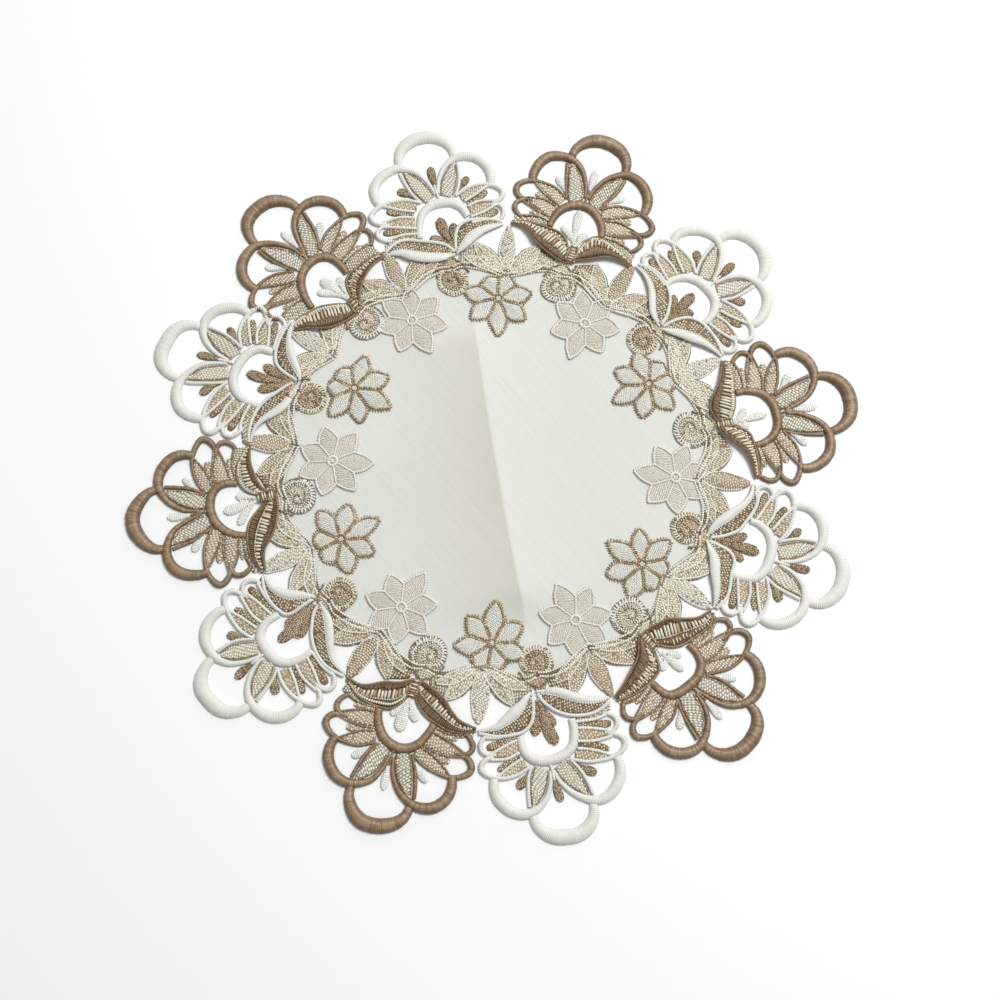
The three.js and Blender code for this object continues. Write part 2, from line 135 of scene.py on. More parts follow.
class Piece:
    """Gathers swept strands and thin sheets, then becomes one mesh."""

    def __init__(self, name, place):
        self.name, self.place = name, place
        self.verts, self.faces, self.mats, self.yarn, self.run = [], [], [], [], []
        self.count, self.queue = 0, {}

    def put(self, p, z, rise=0.0):
        """Local points p to the frame, at the height that z gives there."""
        p = np.asarray(p, float)[..., :2]
        xy = self.place(p)
        return np.concatenate([xy, (z(xy, p) + rise)[..., None]], -1)

    def add(self, v, faces, mat, yarn, run):
        self.verts.append(v.reshape(-1, 3))
        self.yarn.append(np.broadcast_to(yarn, v.shape).reshape(-1, 3))
        self.run.append(np.broadcast_to(run, v.shape[:-1]).reshape(-1))
        for f in faces:
            self.faces.append(f + self.count)
            self.mats.append(np.full(len(f), mat))
        self.count += v.size // 3

    def strand(self, p, half, tall, section, mat, tone=None, trough_shade=1.0, run=None):
        """Queues one strand: p is k points (x, y, z) in the frame's millimetres."""
        k = len(p)
        q = self.queue.setdefault((k, id(section), mat), [section, [], [], [], [], [], []])
        q[1].append(p)
        q[2].append(np.broadcast_to(half, k))
        q[3].append(np.broadcast_to(tall, k))
        q[4].append(np.broadcast_to(RNG.random() if tone is None else tone, k))
        # the second yarn channel: low in the troughs between ribs and beads, where the material mixes in painted shade
        q[5].append(np.broadcast_to(trough_shade, k))
        q[6].append(length_of(p) if run is None else run)

    def sweep(self):
        for (k, _, mat), (sec, P, W, H, tone, trough_shade, run) in self.queue.items():
            P, W, H = np.array(P), np.array(W), np.array(H)
            tone, trough_shade, run = np.array(tone), np.array(trough_shade), np.array(run)
            n, m = len(P), len(sec)
            T = np.gradient(P, axis=1)
            L = np.stack([-T[..., 1], T[..., 0], np.zeros(T.shape[:2])], -1)
            L /= np.linalg.norm(L, axis=-1, keepdims=True).clip(1e-9)
            v = (P[:, :, None, :] + L[:, :, None, :] * (W[:, :, None] * sec[:, 0])[..., None])
            v[..., 2] += H[:, :, None] * sec[:, 1]
            yarn = np.stack(np.broadcast_arrays(tone[:, :, None], trough_shade[:, :, None], np.abs(sec[:, 0])), -1)
            base = (np.arange(n)[:, None, None] * k + np.arange(k - 1)[None, :, None]) * m
            j = np.arange(m)
            j2 = (j + 1) % m
            quads = np.stack([base + j, base + m + j, base + m + j2, base + j2], -1).reshape(-1, 4)
            ring = np.arange(n)[:, None] * k * m + j
            self.add(v, [quads, ring, (ring + (k - 1) * m)[:, ::-1]], mat, yarn, run[:, :, None])
        self.queue = {}

    def sheet(self, patch, z, thick, mat, ns=14, nt=4, s0=0.02, s1=0.98, dome=0.0, reach=0.98):
        s, t = np.meshgrid(np.linspace(s0, s1, ns), np.linspace(-reach, reach, nt), indexing="ij")
        low = self.put(patch.at(s, t), z)
        low[..., 2] += dome * (1 - t**2)
        xy = low[..., :2]
        v = np.stack([low + (0, 0, thick), low])
        i, j = np.meshgrid(np.arange(ns - 1), np.arange(nt - 1), indexing="ij")
        a, n = (i * nt + j).ravel(), ns * nt
        up = np.stack([a, a + nt, a + nt + 1, a + 1], 1)
        down = np.stack([a, a + 1, a + nt + 1, a + nt], 1) + n
        rim = np.concatenate([np.arange(nt), np.arange(2, ns + 1) * nt - 1,
                              np.arange(ns * nt - 2, (ns - 1) * nt - 1, -1), np.arange(ns - 2, 0, -1) * nt])
        r2 = np.roll(rim, -1)
        wall = np.stack([rim, r2, r2 + n, rim + n], 1)
        e1, e2 = xy[ns // 2, 0] - xy[ns // 2 - 1, 0], xy[ns // 2, 1] - xy[ns // 2, 0]
        faces = [up, down, wall] if e1[0] * e2[1] - e1[1] * e2[0] > 0 else [up[:, ::-1], down[:, ::-1], wall[:, ::-1]]
        self.add(v, faces, mat, np.array([RNG.random(), 1.0, 0.0]), 0.0)

    def finish(self, mats, node=None):
        self.sweep()
        world = np.concatenate(self.verts) * MM
        me = bpy.data.meshes.new(self.name)
        me.vertices.add(len(world))
        me.vertices.foreach_set("co", world.astype(np.float32).ravel())
        loops = np.concatenate([f.ravel() for f in self.faces]).astype(np.int32)
        sizes = np.concatenate([np.full(len(f), f.shape[1]) for f in self.faces])
        me.loops.add(len(loops))
        me.loops.foreach_set("vertex_index", loops)
        me.polygons.add(len(sizes))
        me.polygons.foreach_set("loop_start", np.concatenate([[0], sizes.cumsum()[:-1]]).astype(np.int32))
        me.polygons.foreach_set("material_index", np.concatenate(self.mats).astype(np.int32))
        me.polygons.foreach_set("use_smooth", (sizes == 4))
        me.update(calc_edges=True)
        a = me.attributes.new("yarn", "FLOAT_VECTOR", "POINT")
        a.data.foreach_set("vector", np.concatenate(self.yarn).astype(np.float32).ravel())
        a = me.attributes.new("run", "FLOAT", "POINT")
        a.data.foreach_set("value", np.concatenate(self.run).astype(np.float32))
        for m in mats:
            me.materials.append(m)
        ob = bpy.data.objects.new(self.name, me)
        bpy.context.scene.collection.objects.link(ob)
        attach(ob, "root")
        if node:
            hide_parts(node)
        self.tris = int((sizes - 2).sum())
        return ob


# -------------------------------------------------------------- stitch kinds
def satin(piece, rows, z, mat, pitch=1.15, stations=4, tall=(0.7, 0.34), depth=0.12, ends=0.75, section=DOME, vary=1.0, trough=0.0):
    """A satin-stitched column: rows give side, out and width; transverse ribs stand across it."""
    c = smooth(rows, 400)
    total = length_of(c)[-1]
    n = max(2, int(round(total / pitch)))
    cuts = np.linspace(0, total, n + 1)
    cuts[1:-1] += RNG.uniform(-0.16, 0.16, n - 1) * pitch * vary
    share, rib = {4: ((0, 0.2, 0.5, 0.8), (0, 0.8, 1, 0.8)), 3: ((0, 0.33, 0.67), (0, 1, 0.95)), 2: ((0, 0.5), (0, 1))}[stations]
    at = (cuts[:-1, None] + np.diff(cuts)[:, None] * np.array(share)).ravel()
    at = np.append(at, total)
    crest = np.append(np.tile(rib, n), 0.0)
    swell = np.append(np.repeat(RNG.uniform(-vary, vary, n), stations), 0)
    tone = np.append(np.repeat(RNG.random(n), stations), 0.5)
    q = along(c, at)
    half = q[:, 2] / 2 * (1 + 0.025 * swell) * (1 - 0.045 * (1 - crest))
    h = (tall[0] + tall[1] * q[:, 2]) * (1 + 0.05 * swell) * (1 - depth * (1 - crest))
    end = np.minimum(at, total - at) / 3.0
    h *= ends + (1 - ends) * np.sin(np.clip(end, 0, 1) * np.pi / 2)
    piece.strand(piece.put(q, z), half, h, section, mat, tone, trough + (1 - trough) * crest, at)


def padding(piece, rows, z, mat, share=0.8):
    """The flat ground under a satin column."""
    c = smooth(rows, 60)
    d = np.gradient(c[:, :2], axis=0)
    n = np.stack([-d[:, 1], d[:, 0]], 1) / np.linalg.norm(d, axis=1)[:, None].clip(1e-9)
    h = c[:, 2:3] / 2 * share
    p = Patch(c[:, :2] - n * h, c[:, :2] + n * h)
    piece.sheet(p, z, 0.2, mat, ns=max(6, int(p.long / 2.8)), nt=2, s0=0.01, s1=0.99)
    return p.area()


def cord(piece, rows, z, mat, wide=1.5, tall=1.1, bead=1.2, notch=0.30, start=0):
    """A narrow beaded outline cord along the rows."""
    r = np.asarray(rows, float)[:, :2]
    c = smooth(r, 160) if len(r) > 2 else r
    total = length_of(c)[-1]
    n = max(1, int(round(total / bead)))
    at = np.linspace(0, total, 2 * n + 1)
    peak = (np.arange(2 * n + 1) + start) % 2
    var = np.repeat(RNG.uniform(-1, 1, n + 1), 2)[:2 * n + 1]
    w = wide / 2 * (1 - notch * 0.7 * (1 - peak)) * (1 + 0.08 * var)
    h = tall * (1 - notch * (1 - peak)) * (1 + 0.10 * var)
    tone = np.repeat(RNG.random(n + 1), 2)[:2 * n + 1]
    piece.strand(piece.put(along(c, at), z), w, h, CORD, mat, tone, peak.astype(float))


def picots(piece, rows, z, mat, side, pitch=1.25, long=0.9, wide=0.6, tall=0.55, lead=0.4):
    """Little teeth that stand out from one side of a cord."""
    c = smooth(np.asarray(rows, float)[:, :2], 160)
    total = length_of(c)[-1]
    for at in np.arange(lead, total - lead, pitch):
        p = along(c, np.array([at - 0.05, at + 0.05]))
        d = p[1] - p[0]
        n = np.array([-d[1], d[0]]) / np.hypot(*d) * side
        l = long * RNG.uniform(0.7, 1.2)
        root, tip = p[0] + n * 0.2, p[0] + n * (0.75 + l) + d / np.hypot(*d) * RNG.uniform(-0.15, 0.15)
        q = np.array([root, (root + tip) / 2, tip])
        piece.strand(piece.put(q, z), wide / 2 * np.array([1, 1, 0.55]), tall * np.array([1, 0.9, 0.45]), THREAD, mat, RNG.random(), np.array([0.3, 1, 0.7]))


def pearls(piece, patch, z, mat, pitch=1.2, bead=1.55, wide=1.12, tall=0.46, lean=0.0, chevron=0.0, margin=0.45,
           s0=0.02, s1=0.99, dome=0.15, checker=False, fine=True, notch=0.72, reach=(-1, 1), step=0.5):
    """Rows of beaded threads across a patch, each row half a bead off the next."""
    rows = max(1, int(round(patch.long * (s1 - s0) / pitch)))
    for r in range(rows):
        s = s0 + (s1 - s0) * (r + 0.5) / rows
        w = patch.wide(s)
        lo, hi = reach[0] * (1 - 2 * margin / max(w, 0.1)), reach[1] * (1 - 2 * margin / max(w, 0.1))
        span = (hi - lo) * w / 2
        if span < 0.7:
            continue
        n = max(1, int(round(span / bead)))
        more = 1 if r * step % 1 else 0
        share, peak = np.arange(2 * (n + more) + 1) / 2, (np.arange(2 * (n + more) + 1) % 2).astype(float)
        t = np.clip(lo + (hi - lo) * (share - r * step % 1) / n, lo, hi)
        keep = np.append(np.diff(t) > 1e-6, True)
        t, peak, share = t[keep], peak[keep], share[keep]
        k = len(t)
        ss = np.clip(s + (lean * t + chevron * (1 - np.abs(t)) - chevron / 2) * w / 2 / patch.long, 0.003, 0.997)
        ss = ss + RNG.uniform(-0.10, 0.10) * pitch / patch.long
        which = np.minimum(share.astype(int), n + more - 1)
        var = RNG.uniform(-1, 1, n + more)[which]
        half = wide / 2 * (1 - notch + notch * peak) * (1 + 0.13 * var)
        h = tall * (0.45 + 0.55 * peak) * (1 + 0.14 * var)
        tone = RNG.random(n + more)[which]
        if checker:
            tone = np.where((which + r // 2) % 2 == 0, 0.25 + 0.3 * tone, 0.999)
        small = np.where(tone > 0.86, 0.78, 1.0)
        half, h = half * small, h * small
        p = piece.put(patch.at(ss, t), z)
        p[:, :2] += RNG.normal(0, 0.05, (k, 2))
        p[:, 2] += dome * (1 - t**2)
        piece.strand(p, half, h, BEAD if fine else THREAD, mat, tone, peak)


def bars(piece, patch, z, mat, pitch=1.3, wide=0.6, tall=0.5, reach=(-0.9, 0.9), k=5, s0=0.03, s1=0.97, lean=0.0, jitter=0.15, arc=0.0, section=THREAD,
         ragged=0.10, shade=None, crescent=0.0):
    """Smooth threads laid across a patch, as in a ladder."""
    rows = max(1, int(round(patch.long * (s1 - s0) / pitch)))
    for r in range(rows):
        s = s0 + (s1 - s0) * (r + 0.5 + RNG.uniform(-jitter, jitter)) / rows
        near = reach[0] + crescent * (1 - math.sin(math.pi * (r + 0.5) / rows)) * (reach[1] - reach[0])
        t = np.linspace(near + (RNG.uniform(0, ragged) if shade is None else 0.0), reach[1] - RNG.uniform(0, ragged), k)
        ss = np.clip(s + lean * t * patch.wide(s) / 2 / patch.long, 0.003, 0.997)
        env = np.sin(np.linspace(0.3, math.pi - 0.3, k))
        p = piece.put(patch.at(ss, t), z)
        p[:, 2] += arc * env
        piece.strand(p, wide / 2 * (0.7 + 0.3 * env), tall * (0.6 + 0.4 * env), section, mat, RNG.random(),
                     0.55 + 0.45 * env if shade is None else np.linspace(shade[0], shade[1], k))


def strip(patch, t, share, n=24, s0=0.0, s1=1.0, least=0.8):
    """Rows for a satin column that runs along a patch at t, as wide as a share of it."""
    s = np.linspace(s0, s1, n)
    c = patch.at(s, t + 0 * s)
    w = np.array([max(least, patch.wide(a) * share) for a in s])
    return np.column_stack([c, w])


# ================================================================ where it lies
def swirl_noise(amplitude, scale, seed):
    r = np.random.default_rng(seed)
    ph, ang = r.uniform(0, 6.28, (2, 4)), r.uniform(0, 6.28, (2, 4))
    k = 2 * math.pi / scale * r.uniform(0.7, 1.4, (2, 4))

    def f(xy):
        out = np.zeros(xy.shape)
        for c in (0, 1):
            for i in range(4):
                out[..., c] += np.sin(k[c, i] * (xy[..., 0] * math.cos(ang[c, i]) + xy[..., 1] * math.sin(ang[c, i])) + ph[c, i])
        return out * amplitude / 2
    return f


unevenness = swirl_noise(0.30, 24.0, 3)
waver = swirl_noise(0.30, 60.0, 5)


def polar(bearing):
    """Maps side and out, seen along a bearing, to the frame's millimetres."""
    a = math.radians(bearing)
    ca, sa = math.cos(a), math.sin(a)

    def f(p):
        p = np.asarray(p, float)
        x, y = p[..., 0], p[..., 1]
        xy = np.stack([x * ca + y * sa, -x * sa + y * ca], -1)
        return xy + unevenness(xy) + CENTRE
    return f


def radius(xy):
    return np.hypot(xy[..., 0] - CENTRE[0], xy[..., 1] - CENTRE[1])


CLOTH_R, CLOTH_Z, CLOTH_T = 104.5, 0.10, 0.55
CREASE = dict(turn=math.radians(9.2), height=4.0, left=54.0, right=44.0, reach=82.0)


def crease_frame(xy):
    p = xy - CENTRE
    c, s = math.cos(CREASE["turn"]), math.sin(CREASE["turn"])
    x, y = p[..., 0] * c + p[..., 1] * s, -p[..., 0] * s + p[..., 1] * c
    return x - 0.00022 * (y - 10) ** 2 + 0.3, y


def crease_rise(xy):
    """Height of the fold line's ridge, with a soft left flank and a short right one."""
    x, y = crease_frame(xy)
    left = CREASE["left"] * (1.0 - 0.22 * np.clip(y / 70, -1, 1))
    fl = np.clip(1 + x / left, 0, 1) ** 1.8
    fr = np.clip(1 - x / CREASE["right"], 0, 1) ** 2.3
    flank = np.where(x < 0, fl, fr)
    end = np.clip((1 - np.abs(y) / CREASE["reach"]) * 4.0, 0, 1)
    end = end * end * (3 - 2 * end)
    return CREASE["height"] * flank * end


def table(lift=0.0):
    return lambda xy, p: np.full(xy.shape[:-1], 0.12 + lift)


def over_cloth(lift=0.0):
    """Lies on the cloth, and comes down to the table past its edge."""
    def f(xy, p):
        r = radius(xy)
        on = CLOTH_Z + CLOTH_T + 0.12
        k = np.clip((r - CLOTH_R - 0.5) / 7.0, 0, 1)
        k = k * k * (3 - 2 * k)
        return on * (1 - k) + 0.25 * k + lift + crease_rise(xy) * (1 - k)
    return f


# ================================================================== the layout
REACH = 184.5
FANS = [  # thread, bearing, reach, vee, node
    ("white", 347.6, 183.4, 4.0, "fan_white_1"), ("brown", 18.4, 186.6, 2.3, "fan_brown_1"),
    ("white", 48.9, 182.3, 0.6, "fan_white_2"), ("brown", 78.9, 185.0, 0.5, "fan_brown_2"),
    ("white", 109.0, 182.3, 0.6, "fan_white_3"), ("brown", 139.0, 185.2, 0.5, "fan_brown_3"),
    ("white", 169.2, 185.8, 5.0, "fan_white_4"), ("brown", 198.8, 186.4, 2.3, "fan_brown_4"),
    ("white", 230.0, 182.6, 4.6, "fan_white_5"), ("brown", 260.5, 183.4, 0.6, "fan_brown_5"),
    ("white", 290.6, 181.6, 4.4, "fan_white_6"), ("brown", 318.2, 186.4, 1.7, "fan_brown_6")]
SPRAYS = [  # outline, bearing of the flower, distance of its heart, spin, node
    ("brown", 0.7, 86.9, 0, "spray_brown_1"), ("white", 31.2, 86.5, -8, "spray_white_1"),
    ("brown", 61.0, 87.2, 0, "spray_brown_2"), ("white", 94.0, 88.6, 5, "spray_white_2"),
    ("brown", 125.0, 86.8, 0, "spray_brown_3"), ("white", 153.6, 86.2, 0, "spray_white_3"),
    ("brown", 181.6, 88.2, 6, "spray_brown_4"), ("white", 213.0, 84.6, 0, "spray_white_4"),
    ("brown", 243.8, 84.4, -2, "spray_brown_5"), ("white", 271.2, 81.0, 0, "spray_white_5"),
    ("brown", 299.0, 80.8, 0, "spray_brown_6"), ("white", 330.6, 86.4, 0, "spray_white_6")]

# side, out and width of each satin column, in a fan's own frame
APEX_LOOP = [(14.7, 167.4, 4.2), (13.9, 172.4, 5.2), (10.4, 177.4, 6.6), (5.3, 180.3, 7.4), (0.0, 181.0, 7.4)]
SIDE_LOOP = [(0.8, 149.6, 1.7), (3.0, 156.6, 2.4), (8.2, 163.4, 3.3), (16.4, 166.6, 4.7),
             (24.2, 164.4, 5.6), (29.4, 158.4, 5.6), (30.6, 152.4, 5.0), (29.4, 147.4, 4.0)]
EYE_RING = [(13.2, 126.0, 3.4), (14.1, 131.6, 3.8), (12.6, 137.6, 4.6), (8.2, 142.4, 5.0), (0.0, 144.4, 5.2)]
UPPER_LOOP = dict(
    brown=[(9.6, 145.6, 1.5), (17.0, 148.8, 1.7), (24.0, 149.2, 1.9), (28.6, 148.5, 2.3), (33.6, 146.5, 3.0), (36.6, 143.2, 3.5), (36.0, 140.2, 3.4), (33.4, 137.8, 3.0), (30.0, 137.2, 1.8)],
    white=[(9.6, 145.8, 1.7), (17.0, 148.8, 2.0), (24.0, 148.9, 2.1), (28.3, 147.9, 2.4), (32.4, 146.2, 2.8), (34.8, 143.2, 3.1), (34.0, 140.2, 3.0), (31.0, 138.2, 2.6), (28.0, 137.6, 1.8)])
LOWER_LOOP = dict(
    brown=[(26.6, 137.4, 1.4), (30.6, 136.6, 2.0), (33.4, 134.6, 2.8), (33.8, 131.6, 2.9), (32.0, 128.8, 2.6), (29.4, 126.9, 1.9)],
    white=[(26.6, 137.0, 1.5), (30.4, 136.4, 2.0), (32.8, 134.4, 2.6), (33.0, 131.4, 2.6), (30.8, 128.8, 2.3), (27.6, 127.6, 1.8)])
PETAL_EDGE = [(9.4, 145.6, 1.6), (12.4, 151.4, 1.9), (14.2, 157.6, 2.0), (15.4, 163.8, 2.1)]
BASE_UNDER = [(0.4, 110.8), (4.0, 109.9), (9.0, 111.2), (16.2, 115.2), (21.6, 119.0), (27.6, 122.0), (34.2, 123.8)]
BASE_OVER = dict(
    brown=[(0.7, 114.6), (1.9, 120.8), (4.4, 126.0), (8.6, 129.2), (14.4, 130.0), (20.6, 129.3), (27.6, 127.2), (34.2, 124.8)],
    white=[(0.7, 114.0), (2.2, 119.8), (5.4, 124.7), (9.8, 127.6), (15.0, 128.5), (21.6, 127.9), (28.0, 126.0), (34.2, 124.8)])
EYE_OUT = 131.0
# the brown fans differ: each one's eye ring, base leaves (left, right: lower edge, upper edge, bands) and eye bud
# the bands: how far the dark stitches reach, from where to where the pale ladder runs, what lies above it
BROWN = dict(
    fan_brown_1=dict(
        ring=[(-14.0, 129.0, 3.4), (-13.6, 132.5, 3.8), (-10.6, 139.6, 4.6), (-5.6, 143.6, 4.9), (-0.6, 144.9, 4.9), (4.8, 143.9, 4.8), (9.6, 140.2, 4.4), (12.6, 134.8, 4.0), (13.1, 131.4, 3.6)],
        left=([(2.6, 112.4), (-2.0, 112.4), (-8.4, 114.0), (-18.2, 118.8), (-21.8, 121.6), (-26.5, 124.0), (-33.0, 123.6)],
              [(1.6, 116.6), (-0.5, 119.6), (-3.4, 124.6), (-7.2, 127.3), (-12.6, 128.2), (-20.3, 128.2), (-26.5, 127.4), (-33.0, 124.6)], -0.35, (-0.28, 0.50), "net"),
        right=([(3.6, 113.4), (5.4, 115.0), (9.7, 117.0), (15.8, 120.2), (21.2, 121.8), (27.4, 122.0), (32.6, 120.8)],
               [(3.4, 116.4), (4.6, 121.0), (6.6, 127.4), (9.8, 130.8), (14.3, 130.9), (20.5, 128.8), (26.6, 126.6), (32.6, 122.0)], 0.05, (0.12, 0.66), "cord"),
        bud=([(1.4, 120.0), (-0.4, 131.0), (-1.8, 142.0)], 2.3, (-8.0, 131.6), (5.6, 131.4)), stem=(2.2, 112.6, 122.6), cone=(-0.6, 129.4, 4.6),
        nudge=[((0, 146), (-0.4, -1.9), 12), ((13.5, 134), (-1.3, 0), 9)]),
    fan_brown_2=dict(
        ring=[(-13.7, 125.4, 3.4), (-13.5, 132.0, 3.8), (-11.4, 138.2, 4.4), (-6.0, 142.0, 4.8), (0.4, 142.8, 4.8), (6.6, 142.2, 4.8), (11.4, 138.9, 4.5), (13.6, 133.4, 4.0), (13.7, 128.8, 3.5)],
        left=([(1.0, 112.6), (-3.1, 112.0), (-7.0, 110.9), (-12.3, 112.0), (-17.7, 115.9), (-22.3, 119.2), (-31.6, 122.6)],
              [(0.6, 115.6), (-0.8, 119.2), (-3.9, 121.9), (-8.5, 124.0), (-14.7, 124.8), (-20.8, 126.0), (-26.2, 126.0), (-31.6, 123.8)], -0.30, (-0.25, 0.74), "cord"),
        right=([(1.8, 112.8), (5.0, 113.4), (8.6, 115.8), (12.5, 119.8), (17.6, 123.4), (23.8, 125.2), (31.6, 125.6)],
               [(2.0, 117.4), (3.6, 121.7), (5.3, 125.2), (7.8, 127.8), (12.4, 128.4), (17.6, 128.6), (23.8, 128.6), (31.6, 127.0)], -0.50, (-0.46, 0.30), "net"),
        bud=([(1.2, 119.6), (0.4, 129.0), (-0.2, 138.2)], 2.1, (-4.6, 128.8), (4.8, 128.6)), stem=(1.3, 112.0, 120.6), cone=(0.6, 127.6, 4.2),
        nudge=[((0, 146), (0.4, -2.5), 13)]),
    fan_brown_3=dict(
        ring=[(-12.0, 127.6, 3.6), (-12.0, 132.4, 3.8), (-10.3, 138.4, 4.4), (-5.8, 141.9, 4.8), (0.4, 142.7, 5.0), (6.6, 142.3, 5.0), (11.6, 139.6, 4.6), (13.6, 134.6, 4.2), (13.8, 130.2, 3.8)],
        left=([(3.4, 109.4), (-1.1, 109.6), (-7.2, 110.8), (-12.6, 112.4), (-17.2, 116.6), (-22.6, 120.6), (-31.6, 122.8)],
              [(2.0, 114.0), (-1.1, 119.2), (-4.2, 123.0), (-8.8, 126.0), (-12.6, 127.0), (-19.5, 127.8), (-26.5, 127.8), (-31.6, 124.6)], -0.62, (-0.58, 0.22), "ladder"),
        right=([(3.8, 109.4), (5.2, 110.2), (8.2, 113.6), (12.0, 116.6), (17.4, 119.0), (23.5, 121.3), (32.4, 123.4)],
               [(3.2, 114.6), (3.9, 119.2), (4.6, 123.8), (6.8, 127.8), (11.2, 129.3), (17.4, 129.5), (24.6, 128.0), (32.4, 125.0)], -0.05, (-0.02, 0.46), "net"),
        bud=([(1.6, 119.4), (-0.3, 128.4), (-1.4, 135.6)], 2.3, (-6.0, 129.2), (5.2, 129.8)), stem=(2.2, 109.4, 119.6), cone=(0.2, 127.8, 4.9),
        nudge=[((0, 146), (0.4, -2.7), 13), ((-13.5, 134), (2.2, 0), 9)]),
    fan_brown_4=dict(
        ring=[(-12.5, 129.8, 3.7), (-11.6, 134.4, 4.0), (-8.9, 140.8, 4.6), (-3.6, 144.3, 4.9), (2.0, 144.8, 5.0), (7.6, 143.0, 4.9), (12.4, 138.2, 4.6), (14.4, 133.4, 4.2), (14.4, 131.0, 3.8)],
        left=([(2.2, 111.8), (-3.1, 112.9), (-8.5, 114.8), (-13.8, 117.2), (-19.2, 121.0), (-24.2, 124.0), (-32.6, 125.0)],
              [(1.2, 116.4), (-0.4, 120.6), (-3.8, 124.8), (-8.5, 128.0), (-14.6, 129.6), (-20.8, 130.3), (-27.0, 129.2), (-32.6, 126.0)], -0.46, (-0.44, 0.16), "satin"),
        right=([(3.4, 112.2), (5.8, 113.6), (10.0, 116.3), (16.2, 118.7), (22.3, 121.7), (27.7, 123.0), (34.4, 121.6)],
               [(3.2, 116.8), (3.9, 120.8), (5.2, 125.2), (8.6, 129.3), (14.6, 130.6), (20.8, 130.4), (26.6, 128.2), (34.4, 122.6)], -0.36, (-0.34, 0.34), "cord"),
        bud=([(2.4, 120.8), (2.2, 131.0), (2.0, 137.8)], 3.2, (-4.6, 131.2), (8.0, 131.6)), stem=(2.4, 111.8, 120.8), cone=(1.8, 129.4, 5.0),
        nudge=[((0, 146), (1.3, -1.9), 12), ((-13.5, 134), (2.2, 0), 9)]),
    fan_brown_5=dict(
        ring=[(-14.7, 126.4, 3.5), (-13.6, 130.8, 3.8), (-10.6, 136.2, 4.4), (-5.8, 140.4, 4.7), (0.4, 142.0, 4.8), (6.6, 140.9, 4.8), (10.9, 137.4, 4.4), (12.2, 132.4, 3.9), (11.6, 127.6, 3.4)],
        left=([(3.0, 109.4), (-1.8, 109.1), (-7.2, 109.8), (-13.4, 111.6), (-18.8, 114.6), (-24.2, 118.2), (-34.0, 119.8)],
              [(2.2, 112.4), (0.3, 115.4), (-3.4, 119.8), (-7.2, 123.2), (-11.8, 125.2), (-18.0, 126.4), (-25.4, 126.0), (-34.0, 121.2)], -0.42, (-0.40, 0.30), "satin"),
        right=([(4.0, 111.8), (6.2, 114.6), (9.7, 116.6), (15.8, 118.5), (21.2, 119.5), (25.4, 119.4), (30.0, 118.4)],
               [(4.0, 115.6), (5.0, 119.2), (6.4, 123.0), (9.7, 126.2), (15.1, 127.2), (21.2, 125.8), (25.8, 122.8), (30.0, 119.4)], -0.46, (-0.34, 0.56), "cord"),
        bud=([(2.0, 117.6), (-0.2, 128.0), (-1.4, 135.6)], 2.7, (-9.0, 128.8), (5.6, 129.2)), stem=(3.0, 109.6, 118.6), cone=(0.8, 127.4, 5.2),
        nudge=[((0, 146), (0.2, -1.7), 12), ((13.5, 134), (-2.0, 0), 9), ((-12, 140), (0.8, -1.2), 7)]),
    fan_brown_6=dict(
        ring=[(-14.8, 123.4, 3.7), (-13.8, 130.2, 4.2), (-10.8, 136.2, 4.7), (-5.6, 140.4, 4.8), (0.6, 142.5, 4.8), (5.4, 141.9, 4.8), (9.2, 138.4, 4.4), (10.6, 132.4, 4.0), (10.5, 125.0, 3.5)],
        left=([(3.0, 106.8), (-2.0, 106.4), (-8.5, 106.4), (-14.6, 108.2), (-19.2, 111.6), (-22.6, 115.2), (-29.6, 119.8)],
              [(1.6, 109.8), (0.0, 112.2), (-3.1, 115.4), (-6.9, 118.0), (-12.3, 121.4), (-17.7, 122.8), (-23.0, 123.6), (-29.6, 121.4)], -0.24, (-0.18, 0.62), "cord"),
        right=([(3.8, 107.4), (5.0, 109.4), (7.8, 112.4), (11.5, 115.0), (16.4, 117.8), (22.6, 120.2), (30.6, 120.4)],
               [(2.6, 110.4), (3.2, 114.0), (4.4, 118.0), (6.6, 121.6), (10.2, 123.8), (16.2, 124.4), (23.8, 124.4), (30.6, 122.2)], -0.44, (-0.36, 0.26), "net"),
        bud=([(1.6, 113.6), (-0.4, 124.0), (-1.2, 132.4)], 2.9, (-7.6, 127.8), (5.8, 127.0)), stem=(2.0, 106.6, 114.6), cone=(0.2, 125.6, 5.4),
        nudge=[((0, 146), (0.2, -4.0), 13), ((14, 134), (-3.2, 0), 9), ((-12, 140), (0.6, -0.8), 7)]))

